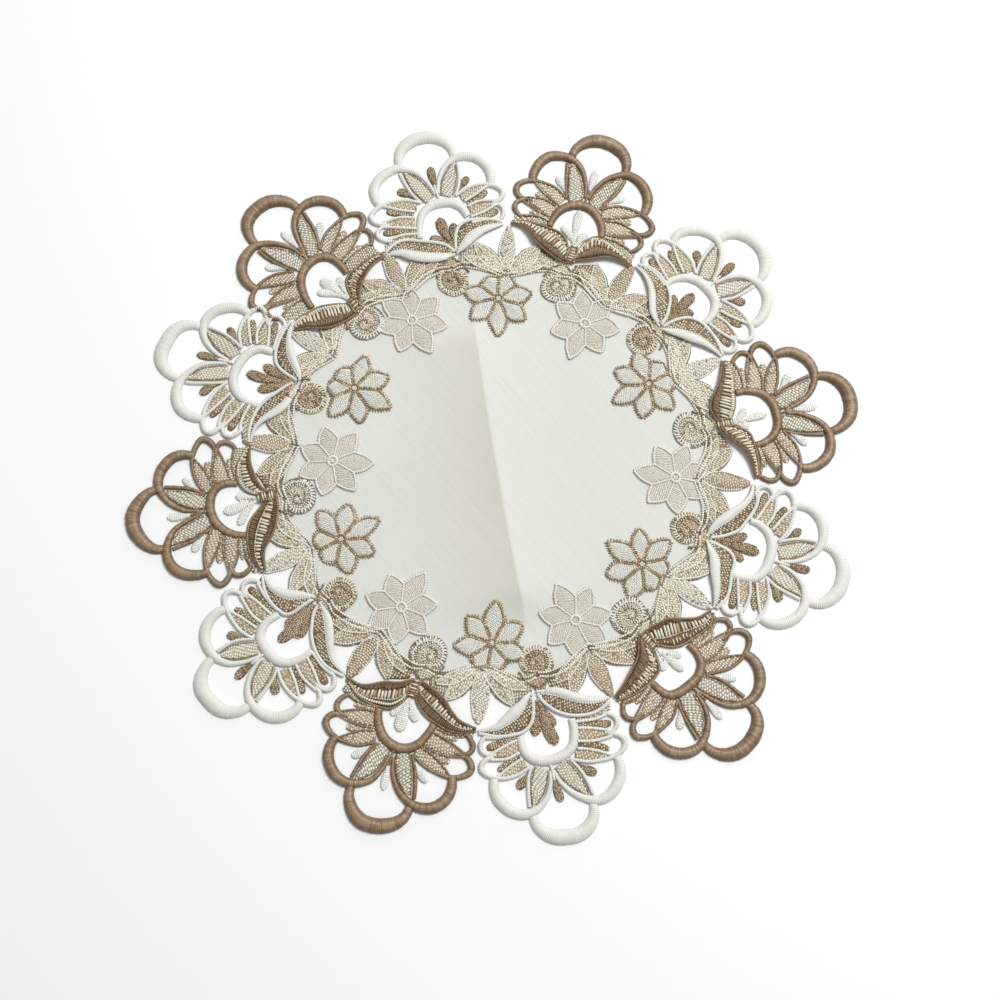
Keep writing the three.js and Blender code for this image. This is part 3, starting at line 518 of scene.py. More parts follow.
# and so do the white ones: ring, base leaves (left, right: lower edge, upper edge, where the satin's middle lies and its share), drops
WHITE = dict(
    fan_white_1=dict(
        ring=[(-12.0, 125.2, 3.3), (-11.3, 131.0, 3.6), (-8.6, 138.0, 4.4), (-3.8, 141.6, 5.0), (1.6, 142.4, 5.2), (7.6, 141.0, 5.0), (12.2, 137.0, 4.5), (14.2, 131.6, 3.9)],
        left=([(3.4, 111.6), (-4.9, 110.2), (-12.6, 111.0), (-18.8, 113.4), (-24.2, 117.2), (-31.0, 119.6)],
              [(3.6, 114.0), (-0.3, 119.0), (-5.7, 122.1), (-12.6, 124.4), (-21.1, 126.0), (-26.5, 124.8), (-31.0, 121.6)], -0.56, 0.40),
        right=([(4.2, 112.0), (8.2, 113.4), (12.0, 115.2), (15.8, 117.5), (22.0, 121.2), (31.4, 123.8)],
               [(4.2, 114.0), (4.7, 118.6), (5.8, 124.0), (8.4, 128.0), (12.8, 129.7), (18.9, 129.8), (25.1, 128.6), (31.4, 125.4)], -0.55, 0.40),
        drops=[([(3.0, 116.0), (-2.0, 121.6), (-7.0, 124.6)], 2.2), ([(3.3, 116.0), (5.0, 124.6), (6.4, 130.2)], 2.4), ([(3.2, 116.0), (0.6, 126.0), (-0.8, 134.8)], 3.0)],
        nudge=[((0, 146), (1.4, -1.0), 12), ((-13.5, 134), (2.2, 0), 8)]),
    fan_white_2=dict(
        ring=[(-14.6, 127.8, 3.3), (-14.4, 132.0, 3.7), (-11.4, 138.2, 4.4), (-6.2, 141.6, 5.0), (0.8, 142.3, 5.2), (7.6, 141.1, 5.0), (12.2, 136.8, 4.5), (13.6, 131.4, 3.9), (13.3, 127.6, 3.4)],
        left=([(-0.2, 109.6), (-7.7, 110.2), (-12.3, 113.6), (-17.7, 118.2), (-23.8, 121.2), (-32.4, 122.8)],
              [(-0.3, 111.6), (-1.5, 117.1), (-4.6, 121.7), (-8.5, 125.5), (-13.8, 128.2), (-20.0, 129.2), (-26.2, 128.0), (-32.4, 124.6)], -0.70, 0.28),
        right=([(1.0, 109.8), (4.4, 110.4), (10.0, 113.0), (16.2, 115.6), (22.3, 119.2), (31.6, 122.8)],
               [(1.1, 111.6), (1.5, 115.5), (3.1, 120.9), (6.2, 125.0), (11.5, 127.5), (17.7, 128.1), (23.8, 127.2), (31.6, 124.2)], -0.60, 0.36),
        drops=[([(0.2, 112.0), (-3.4, 121.6), (-8.2, 127.6)], 2.7), ([(0.4, 112.0), (2.6, 121.6), (5.8, 128.6)], 3.0), ([(0.3, 112.0), (-0.6, 126.0), (-2.0, 136.0)], 3.1)],
        nudge=[((0, 146), (0.6, 0), 12)]),
    fan_white_3=dict(
        ring=[(-14.4, 127.6, 3.4), (-14.2, 131.8, 3.8), (-11.8, 137.6, 4.5), (-6.4, 141.0, 5.0), (0.5, 141.9, 5.2), (7.2, 140.9, 5.0), (12.6, 137.2, 4.5), (14.4, 132.0, 3.9), (14.4, 127.6, 3.4)],
        left=([(0.4, 109.4), (-3.6, 109.3), (-9.5, 110.8), (-14.9, 114.4), (-20.3, 118.8), (-26.5, 122.0), (-32.8, 123.4)],
              [(-0.1, 111.5), (-1.8, 115.4), (-4.9, 120.0), (-8.8, 124.4), (-14.9, 126.7), (-22.6, 128.0), (-28.6, 127.4), (-32.8, 125.0)], -0.58, 0.38),
        right=([(1.8, 109.8), (4.6, 110.6), (9.7, 113.0), (17.4, 116.2), (23.5, 119.4), (32.6, 122.6)],
               [(1.8, 111.2), (2.1, 116.9), (3.3, 122.3), (6.8, 126.2), (14.3, 127.3), (20.0, 127.9), (26.0, 127.5), (32.6, 124.4)], -0.58, 0.38),
        drops=[([(0.4, 113.0), (-3.0, 121.6), (-7.0, 128.4)], 2.3), ([(0.8, 113.0), (2.8, 122.4), (6.0, 130.0)], 2.0), ([(0.6, 113.0), (-0.4, 125.6), (-0.6, 136.4)], 2.8)],
        nudge=[((0, 146), (0.4, -0.3), 12)]),
    fan_white_4=dict(
        ring=[(-12.3, 128.6, 3.6), (-12.2, 134.0, 3.9), (-9.8, 140.8, 4.6), (-4.6, 144.4, 5.0), (3.0, 145.3, 5.2), (9.8, 143.3, 5.0), (13.6, 138.2, 4.4), (13.6, 132.2, 3.8)],
        left=([(2.4, 112.4), (-6.9, 112.3), (-13.1, 114.5), (-18.5, 117.5), (-24.6, 120.6), (-31.4, 122.2)],
              [(2.0, 113.8), (0.8, 117.7), (-3.1, 122.3), (-7.7, 125.4), (-13.8, 128.0), (-20.8, 128.4), (-26.9, 126.6), (-31.4, 124.0)], -0.60, 0.36),
        right=([(5.0, 112.4), (8.5, 113.6), (12.0, 116.4), (15.6, 118.2), (19.6, 121.2), (24.0, 124.4), (32.8, 125.6)],
               [(5.0, 114.0), (4.9, 118.5), (5.6, 123.8), (7.2, 128.3), (10.8, 130.8), (17.7, 131.4), (24.6, 130.6), (32.8, 127.0)], -0.55, 0.40),
        drops=[([(2.6, 116.0), (0.2, 123.8), (-4.0, 130.4)], 2.5), ([(3.3, 116.6), (4.8, 126.6), (6.6, 133.8)], 2.7), ([(3.0, 116.0), (0.6, 129.0), (-2.6, 139.2)], 3.1)],
        nudge=[((0, 146), (2.2, -0.4), 12), ((-13.5, 134), (1.6, 0), 8)]),
    fan_white_5=dict(
        ring=[(-13.2, 127.0, 3.4), (-12.9, 132.8, 3.8), (-10.8, 139.0, 4.4), (-5.8, 142.7, 5.0), (1.2, 143.6, 5.2), (8.0, 141.7, 4.9), (11.2, 136.2, 4.2), (11.1, 128.0, 3.6)],
        left=([(2.8, 108.8), (-2.0, 108.4), (-7.2, 109.2), (-13.4, 112.8), (-18.8, 117.2), (-23.6, 120.6), (-32.4, 121.4)],
              [(2.2, 110.6), (0.5, 115.2), (-3.4, 119.8), (-8.0, 123.7), (-14.9, 126.7), (-22.6, 127.0), (-28.2, 125.0), (-32.4, 122.8)], -0.60, 0.34),
        right=([(6.0, 109.2), (8.6, 110.0), (12.0, 112.2), (15.1, 115.0), (19.2, 118.8), (24.0, 121.2), (30.6, 121.4)],
               [(6.1, 110.8), (6.3, 117.5), (6.8, 122.9), (8.4, 126.2), (12.8, 127.5), (18.9, 127.8), (25.1, 126.2), (30.6, 122.6)], -0.55, 0.38),
        drops=[([(4.0, 111.6), (0.8, 120.4), (-3.6, 128.6)], 3.7), ([(4.2, 111.6), (3.4, 120.6), (3.9, 129.6)], 3.5), ([(4.1, 111.6), (1.2, 124.6), (0.0, 136.4)], 3.1)],
        nudge=[((0, 146), (0.6, 1.0), 12), ((13.5, 134), (-2.6, 0), 8), ((-13.5, 134), (1.2, 0), 8)]),
    fan_white_6=dict(
        ring=[(-13.2, 122.4, 3.5), (-12.8, 129.6, 3.9), (-9.8, 135.6, 4.5), (-4.4, 138.9, 5.1), (3.2, 139.4, 5.3), (10.2, 137.2, 5.0), (14.4, 132.4, 4.3), (15.2, 125.6, 3.7)],
        left=([(4.6, 106.2), (-3.1, 106.2), (-10.0, 107.7), (-15.4, 110.8), (-20.0, 114.8), (-25.4, 117.6), (-32.4, 117.8)],
              [(4.4, 108.2), (0.8, 112.9), (-3.8, 116.8), (-8.5, 119.7), (-14.6, 121.7), (-22.3, 121.8), (-28.0, 120.8), (-32.4, 119.0)], -0.62, 0.34),
        right=([(5.4, 106.6), (8.5, 107.0), (13.1, 110.0), (17.7, 114.2), (21.5, 117.2), (26.2, 119.6), (34.4, 121.2)],
               [(5.4, 108.4), (5.9, 112.0), (7.1, 116.8), (9.6, 121.2), (14.6, 124.4), (20.8, 125.5), (27.7, 125.0), (34.4, 122.8)], -0.58, 0.36),
        drops=[([(3.0, 110.0), (-1.5, 118.4), (-6.0, 125.2)], 2.5), ([(3.5, 110.0), (5.4, 119.2), (7.8, 126.9)], 2.5), ([(3.3, 110.0), (1.4, 121.6), (0.0, 133.8)], 2.9)],
        nudge=[((0, 146), (2.6, -2.2), 13)]))
OWN = {**BROWN, **WHITE}


def fan_place(row):
    to_frame = polar(row[1])
    shift, vee = row[2] - REACH, row[3]
    nudge = OWN[row[4]]["nudge"]

    def f(p):
        p = np.asarray(p, float)
        base = np.clip((EYE_OUT - p[..., 1]) / (EYE_OUT - 112), 0, 1.05)
        moved = p
        for at, by, far in nudge:
            moved = moved + np.exp(-((p - at) ** 2).sum(-1) / (2 * far * far))[..., None] * np.array(by)
        p = moved
        return to_frame(np.stack([p[..., 0] + vee * base, p[..., 1] + shift], -1))
    return f


def wrap(a):
    return (a + 180) % 360 - 180


def curl(lift=0.0, high=2.3):
    """A base leaf's height: its lower edge stands up, its upper edge and both ends lie down."""
    lo, hi = smooth(BASE_UNDER, 60), smooth(BASE_OVER["white"], 60)

    def f(xy, p):
        side = np.abs(p[..., 0])
        a, b = np.interp(side, lo[:, 0], lo[:, 1]), np.interp(side, hi[:, 0], hi[:, 1])
        across = np.clip((b - p[..., 1]) / np.maximum(b - a, 0.8), 0, 1)
        ends = np.sin(np.clip(side / 34.0, 0.04, 0.97) * math.pi) ** 0.55
        return 0.35 + lift + high * ends * across ** 0.8
    return f


def crest(under, over, lift=0.0, high=2.3):
    """The same for one leaf with edges of its own."""
    lo, hi = np.abs(smooth(under, 60)), np.abs(smooth(over, 60))
    tip = min(lo[-1, 0], hi[-1, 0])

    def f(xy, p):
        side = np.abs(p[..., 0])
        a, b = np.interp(side, np.maximum.accumulate(lo[:, 0]), lo[:, 1]), np.interp(side, np.maximum.accumulate(hi[:, 0]), hi[:, 1])
        across = np.clip((b - p[..., 1]) / np.maximum(b - a, 0.8), 0, 1)
        ends = np.sin(np.clip(side / tip, 0.04, 0.97) * math.pi) ** 0.55
        return 0.35 + lift + high * ends * across ** 0.8
    return f


# ================================================================== materials
def node(tree, kind, **values):
    n = tree.nodes.new(kind)
    for k, v in values.items():
        if k in n.inputs:
            n.inputs[k].default_value = v
        else:
            setattr(n, k, v)
    return n


def ramp(tree, stops):
    n = tree.nodes.new("ShaderNodeValToRGB")
    e = n.color_ramp.elements
    while len(e) < len(stops):
        e.new(0.5)
    for el, (at, col) in zip(e, stops):
        el.position, el.color = at, (*col, 1)
    return n


def mad(tree, a, k, b):
    n = node(tree, "ShaderNodeMath", operation="MULTIPLY_ADD")
    tree.links.new(a, n.inputs[0])
    n.inputs[1].default_value = k
    if isinstance(b, float):
        n.inputs[2].default_value = b
    else:
        tree.links.new(b, n.inputs[2])
    return n.outputs[0]


def lin(r, g, b):
    return tuple(((c / 255) / 12.92 if c <= 10 else (((c / 255) + 0.055) / 1.055) ** 2.4) for c in (r, g, b))


def thread_material(name, dark, mid, light, rough=0.55, sheen=0.3, fleck=None, fleck_share=0.1, fine=0.16, specular=0.4, filament=0.0, rim=0.0):
    """Stitched yarn with flecks and fine twist, darker between the stitches and lighter on their crests: that darkening
    is painted shade in the troughs between stitches and beads, and rim paints shade down the sides of a column as well.
    """
    m = bpy.data.materials.new(name)
    m.use_nodes = True
    t = m.node_tree
    t.nodes.clear()
    out = node(t, "ShaderNodeOutputMaterial")
    bsdf = node(t, "ShaderNodeBsdfPrincipled")
    bsdf.inputs["Roughness"].default_value = rough
    bsdf.inputs["Sheen Weight"].default_value = sheen
    bsdf.inputs["Sheen Roughness"].default_value = 0.45
    bsdf.inputs["Specular IOR Level"].default_value = specular
    t.links.new(bsdf.outputs[0], out.inputs[0])
    yarn = node(t, "ShaderNodeAttribute", attribute_name="yarn")
    split = node(t, "ShaderNodeSeparateXYZ")
    t.links.new(yarn.outputs["Vector"], split.inputs[0])
    place = node(t, "ShaderNodeTexCoord")
    cloud = node(t, "ShaderNodeTexNoise", Scale=420.0, Detail=3.0)
    patch = node(t, "ShaderNodeTexNoise", Scale=55.0, Detail=2.0)
    for n in (cloud, patch):
        t.links.new(place.outputs["Object"], n.inputs["Vector"])
    share = mad(t, split.outputs[0], 0.40, mad(t, cloud.outputs[0], 0.75, mad(t, patch.outputs[0], 0.55, -0.34)))
    shade = ramp(t, [(0.05, mid), (0.30, mid), (0.95, light)])
    t.links.new(share, shade.inputs[0])
    colour = shade.outputs[0]
    if fleck:
        mix = node(t, "ShaderNodeMix", data_type="RGBA")
        step = ramp(t, [(1 - fleck_share - 0.02, (0, 0, 0)), (1 - fleck_share + 0.02, (1, 1, 1))])
        t.links.new(split.outputs[0], step.inputs[0])
        t.links.new(step.outputs[0], mix.inputs["Factor"])
        t.links.new(colour, mix.inputs["A"])
        mix.inputs["B"].default_value = (*fleck, 1)
        colour = mix.outputs["Result"]
    # painted shade: where the second yarn channel is low, between ribs and beads, the colour is mixed towards the dark
    # colour
    trough_shade = node(t, "ShaderNodeMix", data_type="RGBA")
    gr = ramp(t, [(0.0, (0, 0, 0)), (0.75, (1, 1, 1))])
    t.links.new(split.outputs[1], gr.inputs[0])
    t.links.new(gr.outputs[0], trough_shade.inputs["Factor"])
    trough_shade.inputs["A"].default_value = (*dark, 1)
    t.links.new(colour, trough_shade.inputs["B"])
    colour = trough_shade.outputs["Result"]
    if rim:
        # painted shade: the sides of a column are mixed towards the dark colour, as if turned away from the light
        edge = ramp(t, [(0.28, (0, 0, 0)), (0.66, (rim * 0.55, rim * 0.55, rim * 0.55)), (1.0, (rim, rim, rim))])
        t.links.new(split.outputs[2], edge.inputs[0])
        painted_side_shade = node(t, "ShaderNodeMix", data_type="RGBA")
        t.links.new(edge.outputs[0], painted_side_shade.inputs["Factor"])
        t.links.new(colour, painted_side_shade.inputs["A"])
        painted_side_shade.inputs["B"].default_value = (*dark, 1)
        colour = painted_side_shade.outputs["Result"]
    t.links.new(colour, bsdf.inputs["Base Color"])
    fibre = node(t, "ShaderNodeTexNoise", Scale=2600.0, Detail=2.0)
    t.links.new(place.outputs["Object"], fibre.inputs["Vector"])
    height = fibre.outputs[0]
    if filament:
        along_it = node(t, "ShaderNodeAttribute", attribute_name="run")
        phase = mad(t, along_it.outputs["Fac"], 2 * math.pi / 0.36, mad(t, cloud.outputs[0], 5.0, 0.0))
        wave = node(t, "ShaderNodeMath", operation="SINE")
        t.links.new(phase, wave.inputs[0])
        height = mad(t, wave.outputs[0], filament, fibre.outputs[0])
    bump = node(t, "ShaderNodeBump", Strength=fine, Distance=0.0002)
    t.links.new(height, bump.inputs["Height"])
    t.links.new(bump.outputs[0], bsdf.inputs["Normal"])
    return m


def cloth_material():
    """Fine plain weave with faint slanting lines, with painted shade making it duller and warmer along the left of the
    fold.
    """
    m = bpy.data.materials.new("ground weave")
    m.use_nodes = True
    t = m.node_tree
    t.nodes.clear()
    out = node(t, "ShaderNodeOutputMaterial")
    bsdf = node(t, "ShaderNodeBsdfPrincipled")
    bsdf.inputs["Roughness"].default_value = 0.85
    bsdf.inputs["Sheen Weight"].default_value = 0.15
    bsdf.inputs["Specular IOR Level"].default_value = 0.25
    t.links.new(bsdf.outputs[0], out.inputs[0])
    place = node(t, "ShaderNodeTexCoord")
    waves = []
    for turn in (0.16, 0.16 + math.pi / 2):
        turned = node(t, "ShaderNodeMapping")
        turned.inputs["Rotation"].default_value = (0, 0, turn)
        t.links.new(place.outputs["Object"], turned.inputs["Vector"])
        w = node(t, "ShaderNodeTexWave", Scale=2 * math.pi / 20 / 0.0008, Distortion=0.5, Detail=1.0)
        w.inputs["Detail Scale"].default_value = 0.4
        t.links.new(turned.outputs[0], w.inputs["Vector"])
        waves.append(w.outputs["Fac"])
    weave = node(t, "ShaderNodeMath", operation="MULTIPLY")
    t.links.new(waves[0], weave.inputs[0])
    t.links.new(waves[1], weave.inputs[1])

    def streaks(turn, scale, detail):
        turned = node(t, "ShaderNodeMapping")
        turned.inputs["Rotation"].default_value = (0, 0, turn)
        t.links.new(place.outputs["Object"], turned.inputs["Vector"])
        drawn = node(t, "ShaderNodeMapping")
        drawn.inputs["Scale"].default_value = scale
        t.links.new(turned.outputs[0], drawn.inputs["Vector"])
        n = node(t, "ShaderNodeTexNoise", Scale=1.0, Detail=detail)
        t.links.new(drawn.outputs[0], n.inputs["Vector"])
        return n

    streak = streaks(0.16, (40, 700, 1), 2.0)
    lines = streaks(math.radians(50), (24, 620, 1), 1.0)
    cloud = node(t, "ShaderNodeTexNoise", Scale=14.0, Detail=3.0)
    t.links.new(place.outputs["Object"], cloud.inputs["Vector"])
    share = mad(t, weave.outputs[0], 0.12, mad(t, streak.outputs[0], 0.12, mad(t, lines.outputs[0], 0.60, mad(t, cloud.outputs[0], 0.35, -0.11))))
    shade = ramp(t, [(0.0, lin(213, 214, 205)), (0.5, lin(221, 222, 214)), (1.0, lin(229, 230, 224))])
    t.links.new(share, shade.inputs[0])
    # painted shade: the fold attribute mixes a darker, warmer colour into the cloth on the fold's shaded left flank
    fold = node(t, "ShaderNodeAttribute", attribute_name="fold")
    fold_shade_tint = node(t, "ShaderNodeMix", data_type="RGBA", blend_type="MULTIPLY")
    t.links.new(fold.outputs["Fac"], fold_shade_tint.inputs["Factor"])
    t.links.new(shade.outputs[0], fold_shade_tint.inputs["A"])
    fold_shade_tint.inputs["B"].default_value = (0.905, 0.885, 0.835, 1)
    t.links.new(fold_shade_tint.outputs["Result"], bsdf.inputs["Base Color"])
    bump = node(t, "ShaderNodeBump", Strength=0.30, Distance=0.00015)
    t.links.new(weave.outputs[0], bump.inputs["Height"])
    t.links.new(bump.outputs[0], bsdf.inputs["Normal"])
    return m


MATERIALS = {
    # the first colour of each thread is the dark one that painted shade mixes in, in the troughs and, by rim, down the
    # sides of a column
    "brown": thread_material("brown satin", lin(66, 43, 24), lin(143, 117, 88), lin(190, 167, 137), rough=0.38, sheen=0.05, specular=0.5, filament=0.8, rim=0.6),
    "white": thread_material("white satin", lin(206, 206, 196), lin(232, 232, 225), lin(241, 241, 236), rough=0.5, sheen=0.2, filament=0.5, rim=0.15),
    "twist_f": thread_material("flower cord", lin(108, 83, 55), lin(162, 138, 106), lin(202, 183, 153), fleck=lin(222, 212, 190), fleck_share=0.30, rough=0.5, rim=0.2),
    "white_c": thread_material("white cord", lin(212, 209, 197), lin(234, 232, 222), lin(243, 242, 234), rough=0.6, rim=0.4),
    "twist": thread_material("brown twist", lin(88, 63, 38), lin(150, 126, 95), lin(194, 173, 143), fleck=lin(214, 202, 178), fleck_share=0.20, rough=0.5, rim=0.3),
    "cream": thread_material("cream net", lin(166, 152, 126), lin(241, 240, 231), lin(250, 249, 243), fleck=lin(206, 192, 167), fleck_share=0.06),
    "cream_b": thread_material("cream and brown net", lin(142, 119, 89), lin(241, 238, 224), lin(250, 248, 239), fleck=lin(178, 154, 122), fleck_share=0.09),
    "pale": thread_material("pale net", lin(206, 201, 184), lin(238, 237, 228), lin(246, 246, 240), fleck=lin(208, 194, 168), fleck_share=0.09),
    "pale_w": thread_material("pale bud", lin(214, 215, 203), lin(236, 237, 229), lin(246, 246, 241)),
    "speck": thread_material("speckled net", lin(168, 154, 126), lin(242, 239, 227), lin(250, 249, 241), fleck=lin(140, 117, 87), fleck_share=0.14),
    "beige": thread_material("beige net", lin(162, 143, 114), lin(233, 226, 208), lin(245, 241, 228), fleck=lin(172, 150, 119), fleck_share=0.13),
    "beige_f": thread_material("beige petal", lin(214, 208, 191), lin(232, 227, 213), lin(241, 238, 228), fleck=lin(214, 203, 183), fleck_share=0.12),
    "mocha": thread_material("brown net", lin(104, 80, 53), lin(196, 175, 143), lin(226, 211, 185), fleck=lin(130, 105, 75), fleck_share=0.26),
    "check": thread_material("checkered net", lin(106, 83, 56), lin(228, 216, 192), lin(244, 237, 221), fleck=lin(150, 124, 92), fleck_share=0.22),
    "ladder": thread_material("ladder stitch", lin(120, 96, 66), lin(226, 217, 195), lin(243, 238, 223), fleck=lin(182, 158, 124), fleck_share=0.16),
    # the ground sheets under the nets: the darker ones, ground_s, ground_b, ground_m, ground_d and ground_e, are partly
    # the darker under-threads and partly painted shade in the gaps between beads and under the base leaves
    "ground_s": thread_material("ground spray", lin(138, 117, 88), lin(174, 155, 127), lin(198, 181, 153)),
    "dot": thread_material("brown dots", lin(120, 95, 66), lin(134, 109, 80), lin(166, 142, 112)),
    "ground_b": thread_material("ground brown", lin(134, 112, 84), lin(172, 151, 122), lin(198, 178, 150)),
    "ground_m": thread_material("ground grey", lin(128, 112, 88), lin(158, 143, 118), lin(182, 168, 144)),
    "ground_d": thread_material("ground dark", lin(92, 69, 44), lin(122, 98, 69), lin(150, 126, 95)),
    "ground_w": thread_material("ground pale", lin(188, 183, 165), lin(209, 205, 190), lin(223, 220, 208)),
    "ground_e": thread_material("ground beige", lin(162, 147, 117), lin(195, 182, 155), lin(215, 205, 181)),
    "ground_p": thread_material("ground white", lin(238, 238, 233), lin(245, 245, 241), lin(249, 249, 246)),
    "ground_t": thread_material("ground petal", lin(214, 210, 196), lin(228, 225, 213), lin(238, 236, 227)),
}
WEAVE = cloth_material()
MATS = list(MATERIALS.values())
M = {n: i for i, n in enumerate(MATERIALS)}


# ================================================================== ground cloth
def make_cloth():
    turn = CREASE["turn"]
    xs = -CLOTH_R * np.cos(np.linspace(0, math.pi, 75))
    xs = np.concatenate([xs[xs < -14], np.arange(-12, 0, 1.5), [0.0], np.arange(1.5, 13, 1.5), xs[xs > 14]])[1:-1]
    ny = 84
    half = np.sqrt(CLOTH_R**2 - xs**2)
    j = -np.cos(np.linspace(0, math.pi, ny))
    X, Y = xs[:, None] + 0 * j[None, :], half[:, None] * j[None, :]
    bend = 0.00022 * (Y - 10) ** 2 - 0.3
    X = X + bend * np.clip(1 - np.abs(X) / 60, 0, 1)
    ex, ey = math.cos(turn), math.sin(turn)
    xy = np.stack([X * ex - Y * ey, X * ey + Y * ex], -1) + CENTRE
    z = CLOTH_Z + crease_rise(xy) + 0.06 * np.clip(waver(xy)[..., 0], -1, 1) + 0.06
    low, top = np.dstack([xy, z]), np.dstack([xy, z + CLOTH_T])
    nx = len(xs)
    v = np.concatenate([top.reshape(-1, 3), low.reshape(-1, 3)])
    i, k = np.meshgrid(np.arange(nx - 1), np.arange(ny - 1), indexing="ij")
    a, n = (i * ny + k).ravel(), nx * ny
    up = np.stack([a, a + ny, a + ny + 1, a + 1], 1)
    down = np.stack([a, a + 1, a + ny + 1, a + ny], 1) + n
    rim = np.concatenate([np.arange(ny), np.arange(2, nx + 1) * ny - 1,
                          np.arange(nx * ny - 2, (nx - 1) * ny - 1, -1), np.arange(nx - 2, 0, -1) * ny])
    r2 = np.roll(rim, -1)
    wall = np.stack([rim, r2, r2 + n, rim + n], 1)
    faces = np.concatenate([up, down, wall])
    me = bpy.data.meshes.new("woven_cloth")
    me.from_pydata((v * MM).tolist(), [], faces.tolist())
    me.polygons.foreach_set("use_smooth", np.ones(len(faces), bool))
    me.update()
    # the fold line and the rim stay crisp
    crest = int(np.argmin(np.abs(xs)))
    ends = np.empty(len(me.edges) * 2, np.int32)
    me.edges.foreach_get("vertices", ends)
    ends = ends.reshape(-1, 2)
    on_crest = ((ends % n) // ny == crest).all(1) & ((ends[:, 0] < n) == (ends[:, 1] < n))
    on_rim = np.isin(ends % n, rim).all(1)
    sharp = me.attributes.new("sharp_edge", "BOOLEAN", "EDGE")
    sharp.data.foreach_set("value", on_crest | on_rim)
    # painted shade for the fold's left flank: strongest next to the crest, fading to the left, towards the top and at
    # the ends
    x, y = crease_frame(xy)
    side = np.clip(1 + x / 56, 0, 1) ** 1.3 * (x <= 0.01)
    share = side * np.clip(1.05 - 0.45 * np.clip((y + 10) / 60, 0, 1), 0, 1) * np.clip((84 - np.abs(y)) / 16, 0, 1)
    f = me.attributes.new("fold", "FLOAT", "POINT")
    f.data.foreach_set("value", np.tile(share.ravel(), 2).astype(np.float32))
    me.materials.append(WEAVE)
    ob = bpy.data.objects.new("woven_cloth", me)
    bpy.context.scene.collection.objects.link(ob)
    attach(ob, "root")
    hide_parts("ground_cloth")
    TRIS["woven_cloth"] = int(sum(len(p) - 2 for p in faces.tolist()))
    return ob


# ================================================================== one fan
TRIS = {}
BUD = [(0, 0.5), (0.4, 1.25), (0.72, 2.3), (0.88, 2.05), (0.96, 1.2), (1, 0.35)]


def base_leaf(lace, net, shape, m, row, S, slim, area):
    """A brown fan's base leaf: dark stitches rise from its lower edge, then a pale ladder, then what lies above it."""
    under, over, dark_to, (l0, l1), top = shape
    place = lace.place
    lace.place = net.place = polar(row[1])
    lo, hi = smooth(under, 60), smooth(over, 60)
    s = np.linspace(0, 1, 60)
    body = Patch(along(lo, s * length_of(lo)[-1]), along(hi, s * length_of(hi)[-1]))

    def up(lift):
        return crest(under, over, lift)

    def row_at(t, a=0.03, b=0.97, n=16):
        return body.at(np.linspace(a, b, n), t + np.zeros(n))

    net.sheet(body, up(0.0), 0.2, M["ground_d"], ns=24, nt=5, reach=0.9)
    area[0] += body.area()
    # painted shade: shade=(0, 1) runs these stitches from the dark colour at the lower edge to their own colour, partly
    # the brown thread and partly shade under the curled edge
    bars(lace, body, up(0.25), M["brown"], pitch=0.85, wide=1.0, tall=0.9, reach=(-0.98, dark_to), k=4, s0=0.01, s1=0.985, lean=0.3 * m, arc=0.35,
         section=BEAD, ragged=0.24, shade=(0.0, 1.0), jitter=0.14)
    bars(lace, body, up(0.4), M["ladder"], pitch=1.75, wide=1.35, tall=0.9, reach=(l0 - 0.14, l1 + 0.06), k=4, s0=0.04, s1=0.96, lean=0.22 * m, arc=0.3, section=BEAD, ragged=0.16, jitter=0.2)
    cord(lace, row_at(l1 - 0.04, 0.05, 0.95), up(0.45), M["ladder"], wide=1.0, tall=0.8, notch=0.5)
    if top == "net":
        pearls(lace, body, up(0.3), M["cream_b"], dome=0.2, reach=(l1 + 0.06, 0.90), s0=0.03, s1=0.95, lean=0.3)
    elif top == "ladder":
        bars(lace, body, up(0.35), M["ladder"], pitch=1.6, wide=0.9, tall=0.8, reach=(l1 + 0.10, 0.84), k=3, s0=0.05, s1=0.95, lean=0.25 * m, section=BEAD, ragged=0.25, jitter=0.2)
    elif top == "satin":
        bars(lace, body, up(0.3), M["brown"], pitch=0.85, wide=1.05, tall=1.0, reach=(l1 + 0.06, 0.95), k=4, s0=0.02, s1=0.98, lean=0.3 * m, arc=0.4,
             section=BEAD, ragged=0.1, shade=(0.2, 1.0), jitter=0.14)
    else:
        cord(lace, row_at((l1 + 0.9) / 2, 0.05, 0.95), up(0.4), M["speck"], wide=1.5, tall=0.9, notch=0.55)
    cord(lace, row_at(-0.99, 0.0, 0.995), up(0.1), M["dot"], wide=1.5, tall=0.9, notch=0.15)
    satin(lace, strip(body, 0.95, 0.11, least=1.4), up(0.3), S, tall=(0.5, 0.3), **slim)
    # a strip of net between the leaf and the side petals
    outer = hi[np.abs(hi[:, 0]) > 12.5]
    if len(outer) > 4:
        lift = 132.4 + row[2] - REACH - 0.02 * (np.abs(outer[:, 0]) - 12) ** 2 * 0.6
        above = np.stack([outer[:, 0], np.maximum(lift, outer[:, 1] + 0.4)], 1)
        gap = Patch(outer[:, :2] - (0, 0.8), above)
        net.sheet(gap, table(0.0), 0.2, M["ground_b"], ns=12, nt=3)
        area[0] += gap.area()
        pearls(lace, gap, table(0.2), M["cream_b"], margin=0.2, lean=0.3 * m)
    lace.place = net.place = place


